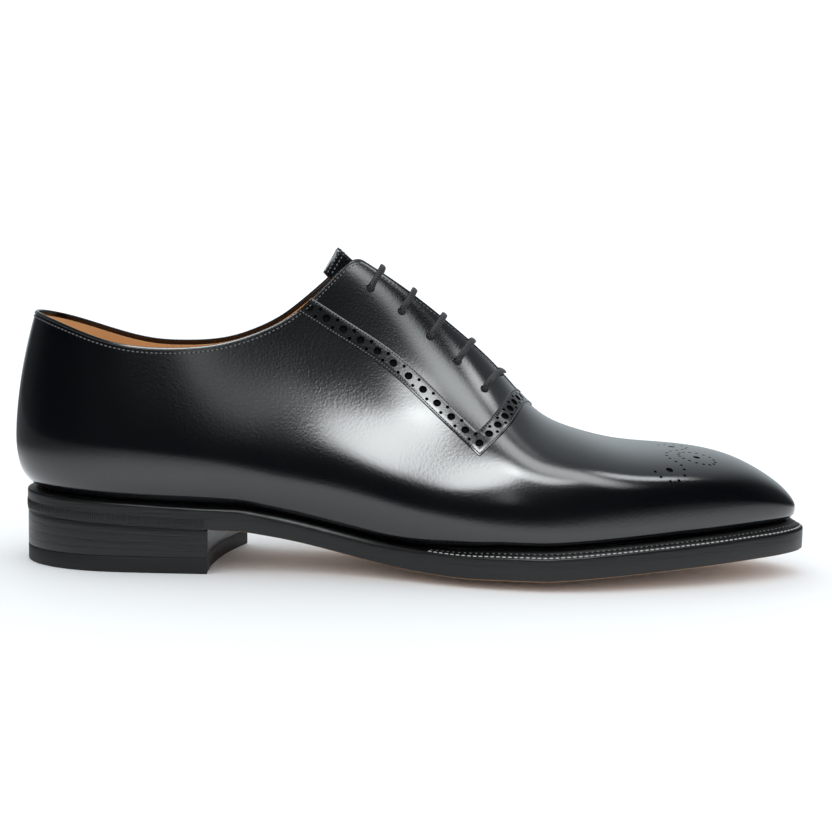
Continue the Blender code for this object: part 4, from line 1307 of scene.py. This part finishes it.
def toe_spots(surface):
    """Holes of the toe ornament on the upper: (metre point, normal, bore)."""
    holes = [TOE_MIDDLE]
    for i in range(TOE_RING_HOLES):
        turn = 2 * math.pi * (i + 0.5) / TOE_RING_HOLES
        holes.append(Punch(TOE_MIDDLE.x + TOE_RING * math.cos(turn),
                           TOE_MIDDLE.drop + TOE_RING * math.sin(turn), TOE_DOT))
    for x, reach, bore in TOE_CURL:
        holes.append(Punch(x, TOE_MIDDLE.drop - reach, bore))
        holes.append(Punch(x + TOE_SKEW * reach, TOE_MIDDLE.drop + reach, bore))
    spots = []
    for x, drop, bore in holes:
        where, normal, _, _ = surface.find_nearest(placed(skin(x, drop)))
        spots.append((where, normal, bore))
    return spots


def heel_block(name, levels, low, high, material):
    """Block of the heel's outline; levels are (share of the height from low to high, inset)."""
    middle = Vector((HEEL_WIDEST - HEEL_MIDDLE, 0.0))
    outline = heel_outline(28, 14, 25)
    loops = []
    for share, inset in levels:
        loop = []
        for x, y in outline:
            inward = (middle - Vector((x, y))).normalized() * inset
            loop.append((x + inward.x, y + inward.y, low(x) + (high(x) - low(x)) * share))
        loops.append(loop)
    block = loops_object(name, loops, False, [material])
    settle(block, math.radians(60))
    return block


class ShoeSizes(bpy.types.PropertyGroup):
    """Sizes of the finish."""

    shell: FloatProperty(
        name="Shell", description="Thickness of the outer leather", default=0.0011, unit="LENGTH")
    lining: FloatProperty(
        name="Lining", description="Thickness of the lining leather", default=0.00062, unit="LENGTH")
    stitch_pitch: FloatProperty(
        name="Stitch pitch", description="Step of the band's seams", default=0.0012, unit="LENGTH")
    welt_pitch: FloatProperty(
        name="Welt pitch", description="Step of the welt's stitches", default=0.0021, unit="LENGTH")
    lace_width: FloatProperty(
        name="Lace width", description="Width of the lace where it lies flat", default=0.0026, unit="LENGTH")


class ShoeColours(bpy.types.PropertyGroup):
    """Colours of the finish."""

    calf: FloatVectorProperty(
        name="Calf", description="Black polished calf", subtype="COLOR", default=linear("07080b"))
    lining: FloatVectorProperty(
        name="Lining", description="Tan lining leather", subtype="COLOR", default=linear("e2aa70"))
    sole: FloatVectorProperty(
        name="Sole", description="Natural sole leather", subtype="COLOR", default=linear("b08560"))
    edge: FloatVectorProperty(
        name="Edge", description="Inked sole edge and heel", subtype="COLOR", default=linear("0e0d0e"))
    rubber: FloatVectorProperty(
        name="Rubber", description="Top piece of the heel", subtype="COLOR", default=linear("141414"))
    # the upper's thread is black; its grey default paints the sheen of its gloss
    thread: FloatVectorProperty(
        name="Thread", description="Thread of the upper", subtype="COLOR", default=linear("59595c"))
    welt_thread: FloatVectorProperty(
        name="Welt thread", description="Thread of the welt", subtype="COLOR", default=linear("b4b3b0"))
    wheel: FloatVectorProperty(
        name="Wheeling", description="Dots pressed along the welt", subtype="COLOR", default=linear("6a6967"))
    lace: FloatVectorProperty(
        name="Lace", description="Waxed cotton lace", subtype="COLOR", default=linear("212124"))


class StageSettings(bpy.types.PropertyGroup):
    """Camera and light."""

    place: FloatVectorProperty(
        name="Camera", description="Camera in the maker's millimetres", default=(153.25, -500.0, 106.45))
    turn: FloatVectorProperty(
        name="Turn", description="Yaw, pitch down and roll of the camera, in degrees",
        default=(-0.107, 5.599, 1.28))
    lens: FloatProperty(name="Lens", description="Focal length in millimetres", default=55.85)
    strip: FloatProperty(name="Strip", description="Power of the strip softbox", default=53.0, unit="POWER")
    scrim: FloatProperty(name="Scrim", description="Power of the overhead scrim", default=43.0, unit="POWER")
    fill: FloatProperty(name="Fill", description="Power of the low fill light", default=1.35, unit="POWER")
    waist: FloatProperty(
        name="Waist", description="Power of the light over the waist", default=18.0, unit="POWER")
    toe: FloatProperty(name="Toe", description="Power of the light over the toe", default=17.5, unit="POWER")


def coloured(build, name, key, *values):
    """Shared material in one of the panel's colours."""
    return shared(build, name, tuple(getattr(bpy.context.scene.shoe_colours, key)), *values)


def black_calf():
    return coloured(calf, "black polished calf", "calf", 0.18)


def tan_lining():
    return coloured(lining_leather, "tan lining leather", "lining")


# black thread of the upper, coloured grey as a painted sheen
def sheen_painted_thread():
    return coloured(thread, "black waxed thread", "thread")


def black_edge():
    return coloured(edge_leather, "inked sole edge", "edge", 0.36)


def punched_leather():
    return shared(raw_cut, "punched leather", linear("050505"))


class SHOE_OT_upper(bpy.types.Operator):
    """Outer leather of the upper, with eyelets, toe ornament and the band's holes punched in it"""

    bl_idname = "shoe.build_upper"
    bl_label = "Upper"

    def execute(self, context):
        upper = skin_loft("upper_calf", lambda station: 0.0, [black_calf()])
        thicken(upper, context.scene.shoe_sizes.shell / MM)
        round_edges(upper, EDGE_BEVEL)
        settle(upper)
        spots = [(*spot, TOE_DEPTH) for spot in toe_spots(surface_of(upper.name))]
        spots += [(*spot, BAND_MARK) for spot in band_spots(0.0)]
        punch(upper, spots + eyelet_spots(), punched_leather())
        finish_piece(upper, "black_calf", "upper")
        return {"FINISHED"}


class SHOE_OT_lining(bpy.types.Operator):
    """Tan lining inside the upper"""

    bl_idname = "shoe.build_lining"
    bl_label = "Lining"

    def execute(self, context):
        sizes = context.scene.shoe_sizes
        lining = skin_loft(
            "lining", lambda station: float(np.interp(station, *LINING_INSET)), [tan_lining()], LINING_LOW)
        depth = sizes.shell + LINING_GAP * MM
        inner = [v.co - v.normal * depth for v in lining.data.vertices]
        lining.data.vertices.foreach_set("co", np.array(inner, float).ravel())
        thicken(lining, sizes.lining / MM)
        settle(lining)
        punch(lining, eyelet_spots(), tan_lining())
        finish_piece(lining, "lining_leather")
        return {"FINISHED"}


class SHOE_OT_band(bpy.types.Operator):
    """Brogued strip round the lace panel"""

    bl_idname = "shoe.build_band"
    bl_label = "Brogue band"

    def execute(self, context):
        edges = band_edges(band_line(BAND_FINE), BAND_HALF)
        step = round(BAND_STEP / BAND_FINE)
        edges[0] = skewed(edges[0], edges[step])
        edges[-1] = skewed(edges[-1], edges[-1 - step])
        loops = []
        for left, right in edges:
            loop = []
            for share, height in BAND_PROFILE:
                spot = [a + (b - a) * (share + 1) / 2 for a, b in zip(left, right)]
                loop.append(raised(*spot, height * BAND_THICK * BAND_SHOWN - BAND_SINK))
            loops.append(loop)
        band = loops_object("brogue_strip", loops, False, [black_calf()])
        settle(band)
        spots = [(*spot, BAND_PUNCH) for spot in band_spots(BAND_PUNCH_LIFT)]
        punch(band, spots, punched_leather(), folded=True)
        finish_piece(band, "band_calf", "brogue_band")
        return {"FINISHED"}


class SHOE_OT_tongue(bpy.types.Operator):
    """Tongue of calf over lining"""

    bl_idname = "shoe.build_tongue"
    bl_label = "Tongue"

    def execute(self, context):
        width = table_curve(TONGUE, "half_width")
        depth = table_curve(TONGUE, "depth")
        rows = spread(TONGUE_TOP_X, TONGUE_END_X, 56)
        shares, knots = spread(-1.0, 1.0, 29), (-1.0, -0.75, -0.5, 0.0, 0.5, 0.75, 1.0)
        points = []
        for ridge_x in rows:
            drops = [share * width(ridge_x) for share in knots]
            hung = [raised(slanted(ridge_x, drop), drop, -depth(ridge_x)) for drop in drops]
            lines = [Curve(knots, [spot[i] for spot in hung]) for i in range(3)]
            points.extend(tuple(line(share) for line in lines) for share in shares)
        faces = grid_faces(0, len(rows), len(shares))
        tongue = mesh_object("tongue_calf", points, faces, [black_calf(), tan_lining()])
        if sum(polygon.normal.z * polygon.area for polygon in tongue.data.polygons) < 0:
            tongue.data.flip_normals()
        thicken(tongue, TONGUE_THICK, inner=1)
        round_edges(tongue, EDGE_BEVEL)
        settle(tongue)
        finish_piece(tongue, "tongue_calf", "tongue")
        return {"FINISHED"}


class SHOE_OT_lace(bpy.types.Operator):
    """Lace through the eyelets in straight bars"""

    bl_idname = "shoe.thread_lace"
    bl_label = "Lace"

    def execute(self, context):
        path = lace_path()
        travel = np.concatenate(([0.0], np.cumsum([(b - a).length for a, b in zip(path, path[1:])])))
        lines = [Curve(travel, [p[i] for p in path]) for i in range(3)]
        ways = spread(0.0, travel[-1], round(travel[-1] / LACE_STEP))
        spots = [Vector([line(way) for line in lines]) for way in ways]
        wide = context.scene.shoe_sizes.lace_width / MM / 2
        ridge = (skin(BARS[-1].ridge_x, 0.0) - skin(BARS[0].ridge_x, 0.0)).normalized()
        turns = [2 * math.pi * k / LACE_SIDES for k in range(LACE_SIDES)]
        loops = []
        for spot, tangent in zip(spots, directions(spots)):
            tangent = tangent.normalized()
            flat = 1 - abs(ridge.dot(tangent))
            aside = ridge * flat + Vector((0.0, 1.0, 0.0)) * (1 - flat)
            aside = (aside - tangent * aside.dot(tangent)).normalized()
            over = tangent.cross(aside)
            over = over if over.z > 0 else -over
            span = LACE_NARROW + (wide - LACE_NARROW) * flat
            tall = LACE_NARROW * (1 - LACE_FLAT * flat)
            spot = spot - over * (LACE_RADIUS - tall)
            loops.append([spot + aside * span * math.cos(a) + over * tall * math.sin(a) for a in turns])
        lace = loops_object("lace_cord", loops, False, [coloured(woven_lace, "waxed cotton lace", "lace")])
        chart = lace.data.uv_layers.new(name="lace")
        for polygon in lace.data.polygons:
            rounds = [index % LACE_SIDES for index in polygon.vertices]
            wraps = max(rounds) - min(rounds) > LACE_SIDES / 2
            for corner, index in zip(polygon.loop_indices, polygon.vertices):
                turn = index % LACE_SIDES
                turn = LACE_SIDES if wraps and turn == 0 else turn
                way = ways[min(index // LACE_SIDES, len(ways) - 1)]
                chart.data[corner].uv = (way, turn / LACE_SIDES * LACE_ROUND)
        finish_piece(lace, "lace_cord", "lace")
        return {"FINISHED"}


class SHOE_OT_welt(bpy.types.Operator):
    """Welt round the sole"""

    bl_idname = "shoe.build_welt"
    bl_label = "Welt"

    def profile(self, x):
        """Section of the welt as (inset from the sole's edge, height)."""
        bevel = max(SOLE_CURVES["bevel"](tip_share(x, SOLE_TIP)), WELT_ROUND)
        foot = WELT_THICK - bevel
        head = welt_lift(x, bevel)
        groove = WELT_GROOVE * min(max((x - WELT_GROOVE_START) / WELT_GROOVE_RUN, 0.0), 1.0)
        line = [(0.0, -WELT_LAP), (0.0, foot * WELT_FOOT)]
        for angle in spread(0.0, math.pi / 2, 6):
            line.append((bevel * (1 - math.cos(angle)), foot + (head - foot) * math.sin(angle)))
        for inset, sink in WELT_FACE:
            inset = max(inset, bevel + WELT_FACE_STEP + WELT_FACE_STEP * inset)
            line.append((inset, welt_lift(x, inset) - groove * sink))
        brim = welt_lift(x, WELT_MARGIN)
        return line + [(WELT_MARGIN, brim), (WELT_WIDTH, brim), (WELT_WIDTH, 0.0)]

    def execute(self, context):
        loops = []
        for x, y, out_x, out_y in sole_edge(fine_sole_stations()):
            loop = []
            for inset, lift in self.profile(x):
                spot = (x - out_x * inset, y - out_y * inset)
                loop.append((*spot, underside(*spot) + OUTSOLE_THICK + BED + lift))
            loops.append(loop)
        welt = loops_object("welt_strip", loops, True, [black_edge()])
        settle(welt, math.radians(45))
        finish_piece(welt, "welt_leather", "welt")
        return {"FINISHED"}


class SHOE_OT_outsole(bpy.types.Operator):
    """Leather outsole, inked edge and natural underside"""

    bl_idname = "shoe.build_outsole"
    bl_label = "Outsole"

    def execute(self, context):
        shares = spread(-1.0, 1.0, 33)
        loops = []
        for x in fine_sole_stations():
            spots = [(x, share * sole_half(INNER if share > 0 else OUTER, x)) for share in shares]
            loops.append(slab_loop(spots, underside, OUTSOLE_THICK))
        sole = loops_object("sole_bend", loops, False, [
            black_edge(), coloured(sole_leather, "natural sole leather", "sole")])
        low = []
        for vertex in sole.data.vertices:
            x, y, z = vertex.co / MM + CENTRE
            ahead = BREAST_OUTER_X < x < SOLE_TIP - SOLE_ROUND_END
            low.append(ahead and z - underside(x, y) < OUTSOLE_THICK / 2)
        weight = sole.data.attributes.new("bevel_weight_edge", "FLOAT", "EDGE")
        weight.data.foreach_set(
            "value", [float(all(low[v] for v in edge.vertices)) for edge in sole.data.edges])
        round_edges(sole, SOLE_ROUND, "WEIGHT")
        settle(sole)
        breast = placed((BREAST_OUTER_X, 0.0, 0.0)).x
        for polygon in sole.data.polygons:
            polygon.material_index = int(polygon.normal.z < SOLE_DOWN and polygon.center.x > breast)
        finish_piece(sole, "sole_leather", "outsole")
        return {"FINISHED"}


class SHOE_OT_heel(bpy.types.Operator):
    """Stacked heel and its top piece"""

    bl_idname = "shoe.build_heel"
    bl_label = "Heel"

    def execute(self, context):
        levels = [(0.0, LIFT_ENDS[0]), (HEEL_JOINT, 0.0)]
        for i in range(1, HEEL_LIFTS):
            share = i / HEEL_LIFTS
            levels += [(share - HEEL_JOINT, 0.0), (share, HEEL_GROOVE), (share + HEEL_JOINT, 0.0)]
        levels += [(1 - HEEL_JOINT, 0.0), (1.0, LIFT_ENDS[1])]
        stack = heel_block("heel_lifts", levels, lambda x: TOP_PIECE_THICK + HEEL_SEAM,
                           lambda x: ground(x) - HEEL_SEAM, black_edge())
        finish_piece(stack, "heel_leather", "heel_stack")
        rubber = coloured(heel_rubber, "moulded heel rubber", "rubber")
        piece = heel_block("heel_tread", TREAD_LEVELS, lambda x: 0.0, lambda x: TOP_PIECE_THICK, rubber)
        finish_piece(piece, "heel_rubber", "heel_top_piece")
        return {"FINISHED"}


class SHOE_OT_insole(bpy.types.Operator):
    """Insole and sock inside the shoe"""

    bl_idname = "shoe.build_insole"
    bl_label = "Insole"

    def execute(self, context):
        shares = spread(0.0, 1.0, 25)
        loops = []
        for station in fine_stations():
            ribs = [Rib(side, station) for side in SIDES]
            outer, inner = (Vector(rib.feather) - Vector(rib.normal) * SOCK_INSET for rib in ribs)
            spots = [outer.lerp(inner, share) for share in shares]
            loops.append(slab_loop(spots, lambda x, y: welt_top(x, y) + GAP, INSOLE_THICK))
        insole = loops_object("insole_leather", loops, False, [tan_lining(), black_edge()])
        round_edges(insole, SOCK_ROUND)
        settle(insole)
        for polygon in insole.data.polygons:
            polygon.material_index = 0 if polygon.normal.z > SOCK_UP else 1
        finish_piece(insole, "lining_leather", "insole")
        return {"FINISHED"}


class SHOE_OT_seams(bpy.types.Operator):
    """Stitches of the upper and the welt"""

    bl_idname = "shoe.sew_seams"
    bl_label = "Seams"

    def sew_pair(self, name, rows, pitch):
        """Thread that shows between needle holes, each hole a dark bead of painted shade."""
        # the second row is dark beads at half a pitch: painted shade in the needle holes
        for part, stitch, material, start in (
                ("_stitches", THREAD, sheen_painted_thread(), 0.0),
                ("_needle_holes", NEEDLE_HOLE_SHADE, punched_leather(), pitch / 2)):
            sew(name + part, rows, pitch, stitch._replace(length=stitch.length * pitch), material, start)

    def sew_edges(self):
        """Rows beside the top edge and across the tongue."""
        upper, tongue = surface_of("upper_calf"), surface_of("tongue_calf")
        rows = [on_surface(upper, top_row(side, EDGE_SEAM), STITCH_LIFT) for side in SIDES]
        width = table_curve(TONGUE, "half_width")
        for inset in TONGUE_SEAMS:
            ridge_x = TONGUE_TOP_X + inset
            reach = width(ridge_x) - inset
            line = [placed(skin(slanted(ridge_x, drop), drop)) for drop in spread(-reach, reach, 40)]
            rows.append(on_surface(tongue, line, STITCH_LIFT))
        self.sew_pair("edge", rows, EDGE_PITCH)

    def add_bead(self):
        """Folded edge of the leather as a fine bead."""
        outer, inner = (top_row(side, EDGE_BEAD) for side in SIDES)
        spots, ways = on_surface(surface_of("upper_calf"), outer[::-1] + inner[1:], 0.0)
        turns = [2 * math.pi * k / BEAD_SIDES for k in range(BEAD_SIDES)]
        loops = []
        for spot, up, along in zip(spots, ways, directions(spots)):
            aside = up.cross(along).normalized()
            loops.append([spot / MM + CENTRE + (aside * math.cos(a) + up * math.sin(a)) * BEAD_RADIUS
                          for a in turns])
        finish_piece(loops_object("edge_bead", loops, False, [black_calf()]), None)

    def sew_band(self, pitch):
        """Rows along both edges of the band."""
        strip = surface_of("brogue_strip")
        middle = band_line(BAND_FINE)
        spine = [skin(*spot) for spot in middle]
        inset = BAND_HALF - BAND_SEAM
        rows = []
        for edge in zip(*band_edges(middle, inset)):
            line = []
            for spot in edge:
                point = skin(*spot)
                if min((point - mark).length for mark in spine) > BAND_SEAM_CLEAR * inset:
                    line.append(placed(raised(*spot, BAND_THICK)))
            rows.append(on_surface(strip, line, STITCH_LIFT))
        self.sew_pair("band", rows, pitch)

    def sew_welt(self, pitch):
        """Stitches and wheel marks on the welt's upper face."""
        welt = surface_of("welt_strip")
        for name, inset, stitch, material in (
                ("welt_stitches", WELT_SEAM, WELT_STITCH, coloured(thread, "welt thread", "welt_thread")),
                ("welt_wheeling", WELT_WHEEL, WELT_DOT, coloured(thread, "welt wheeling", "wheel"))):
            line = []
            for x, y, out_x, out_y in sole_edge(fine_sole_stations()):
                if x > WELT_SEAM_START:
                    spot = (x - out_x * inset, y - out_y * inset)
                    line.append(placed((*spot, underside(*spot) + OUTSOLE_THICK + welt_lift(x, inset))))
            sew(name, [on_surface(welt, line, WELT_STITCH_LIFT)], pitch, stitch, material)

    def wheel_seat(self):
        """Upright marks round the heel seat."""
        spots, ways = [], []
        for x, y, out_x, out_y in sole_edge(fine_sole_stations()):
            if x < SEAT_FRONT - SEAT_WHEEL_END:
                spots.append(placed((x, y, ground(x) + SEAT_WHEEL_Z)))
                ways.append((out_x, out_y, 0.0))
        steps = [(b - a).length for a, b in zip(spots, spots[1:])]
        first = steps.index(max(steps)) + 1     # after the gap at the open front of the seat
        row = (spots[first:] + spots[:first], ways[first:] + ways[:first])
        sew("seat_wheeling", [row], SEAT_PITCH, SEAT_MARK, black_edge())

    def execute(self, context):
        sizes = context.scene.shoe_sizes
        self.sew_edges()
        self.add_bead()
        self.sew_band(sizes.stitch_pitch / MM)
        self.sew_welt(sizes.welt_pitch / MM)
        self.wheel_seat()
        return {"FINISHED"}


class SHOE_OT_stage(bpy.types.Operator):
    """Floor, light and camera"""

    bl_idname = "shoe.set_stage"
    bl_label = "Stage"

    def light_room(self, scene):
        """White room; what the polished leather mirrors of it is darker in front and at both ends."""
        world = bpy.data.worlds.new("studio")
        scene.world = world
        world.use_nodes = True
        world.cycles.sampling_method = "NONE"
        tree = world.node_tree
        white = tree.nodes["Background"]
        white.inputs["Color"].default_value = ROOM_WHITE
        white.inputs["Strength"].default_value = ROOM_STRENGTH
        way = add_node(tree, "ShaderNodeTexCoord").outputs["Generated"]
        axes = add_node(tree, "ShaderNodeSeparateXYZ", {0: way}).outputs
        back = eased(tree, axes["Y"], *MIRRORED_BACK)
        ends = eased(tree, combined(tree, "ABSOLUTE", axes["X"]), *MIRRORED_ENDS)
        mirrored = add_node(tree, "ShaderNodeBackground", {
            "Color": MIRRORED_WHITE, "Strength": combined(tree, "MULTIPLY", back, ends)})
        glossy = add_node(tree, "ShaderNodeLightPath").outputs["Is Glossy Ray"]
        either = add_node(tree, "ShaderNodeMixShader", {
            0: glossy, 1: white.outputs[0], 2: mirrored.outputs[0]})
        tree.links.new(either.outputs[0], tree.nodes["World Output"].inputs["Surface"])

    def add_softbox(self, box, power):
        """Oval area light that fades from its core to its rim and shows in the polish only."""
        data = bpy.data.lights.new(box.name, "AREA")
        data.shape = "ELLIPSE"
        data.size, data.size_y = box.width, box.depth
        data.energy = power
        data.color = LIGHT_COLOUR
        data.use_nodes = True
        tree = data.node_tree
        across = add_node(tree, "ShaderNodeNewGeometry").outputs["Parametric"]
        middle = add_node(tree, "ShaderNodeVectorMath", {0: across, 1: (0.5, 0.5, 0.0)}, operation="SUBTRACT")
        level = add_node(tree, "ShaderNodeVectorMath", {
            0: middle.outputs[0], 1: (1.0, 1.0, 0.0)}, operation="MULTIPLY")
        reach = add_node(tree, "ShaderNodeVectorMath", {0: level.outputs[0]}, operation="LENGTH")
        fade = eased(tree, reach.outputs["Value"], (box.core, 1.0), (0.5, 0.0))
        tree.links.new(fade, tree.nodes["Emission"].inputs["Strength"])
        lamp = add_object(box.name, data)
        lamp.visible_diffuse = False
        lamp.location = placed(box.place)
        aim = placed(LIGHT_AIM) - lamp.location
        lean = Quaternion((0.0, 0.0, 1.0), math.radians(box.lean))
        lamp.rotation_euler = (aim.to_track_quat("-Z", "Y") @ lean).to_euler()

    def place_camera(self, scene, stage):
        yaw, pitch, roll = (math.radians(angle) for angle in stage.turn)
        ahead = Vector((-math.sin(yaw) * math.cos(pitch), math.cos(yaw) * math.cos(pitch), -math.sin(pitch)))
        right = Vector((math.cos(yaw), math.sin(yaw), 0.0))
        up = right.cross(ahead)
        across = right * math.cos(roll) + up * math.sin(roll)
        upright = up * math.cos(roll) - right * math.sin(roll)
        turned = Matrix((across, upright, -ahead)).transposed().to_4x4()
        turned.translation = placed(stage.place)
        data = bpy.data.cameras.new("camera")
        data.lens = stage.lens
        data.sensor_width = SENSOR
        data.clip_start = NEAR_CLIP
        scene.camera = add_object("camera", data)
        scene.camera.matrix_world = turned

    def execute(self, context):
        scene = context.scene
        stage = scene.shoe_stage
        scene.view_settings.view_transform = "Standard"
        self.light_room(scene)
        corners = [(sx * FLOOR_REACH, sy * FLOOR_REACH, -FLOOR_DROP)
                   for sx, sy in ((-1, -1), (1, -1), (1, 1), (-1, 1))]
        floor = mesh_object("floor", corners, [(0, 1, 2, 3)], [white_floor("white floor", FLOOR_WHITE)])
        for box in SOFTBOXES:
            self.add_softbox(box, getattr(stage, box.power))
        self.place_camera(scene, stage)
        return {"FINISHED"}


class SHOE_PT_finish(bpy.types.Panel):
    """Pieces of the shoe's finish"""

    bl_idname = "SHOE_PT_finish"
    bl_label = "Brogue oxford"
    bl_space_type = "VIEW_3D"
    bl_region_type = "UI"
    bl_category = "Shoe"

    def draw(self, context):
        for group in GROUPS:
            settings = getattr(context.scene, group)
            for name in settings.__annotations__:
                self.layout.prop(settings, name)
        for step in STEPS:
            self.layout.operator(step.bl_idname)


STEPS = (SHOE_OT_stage, SHOE_OT_upper, SHOE_OT_lining, SHOE_OT_band, SHOE_OT_tongue, SHOE_OT_lace,
         SHOE_OT_insole, SHOE_OT_welt, SHOE_OT_outsole, SHOE_OT_heel, SHOE_OT_seams)
GROUPS = {"shoe_sizes": ShoeSizes, "shoe_colours": ShoeColours, "shoe_stage": StageSettings}


def register():
    for kind in (*GROUPS.values(), *STEPS, SHOE_PT_finish):
        bpy.utils.register_class(kind)
    for name, group in GROUPS.items():
        setattr(bpy.types.Scene, name, PointerProperty(type=group))


def unregister():
    for name in GROUPS:
        delattr(bpy.types.Scene, name)
    for kind in (SHOE_PT_finish, *reversed(STEPS), *GROUPS.values()):
        bpy.utils.unregister_class(kind)


def main():
    register()
    for step in STEPS:
        family, action = step.bl_idname.split(".")
        getattr(getattr(bpy.ops, family), action)()


if __name__ == "__main__":
    main()
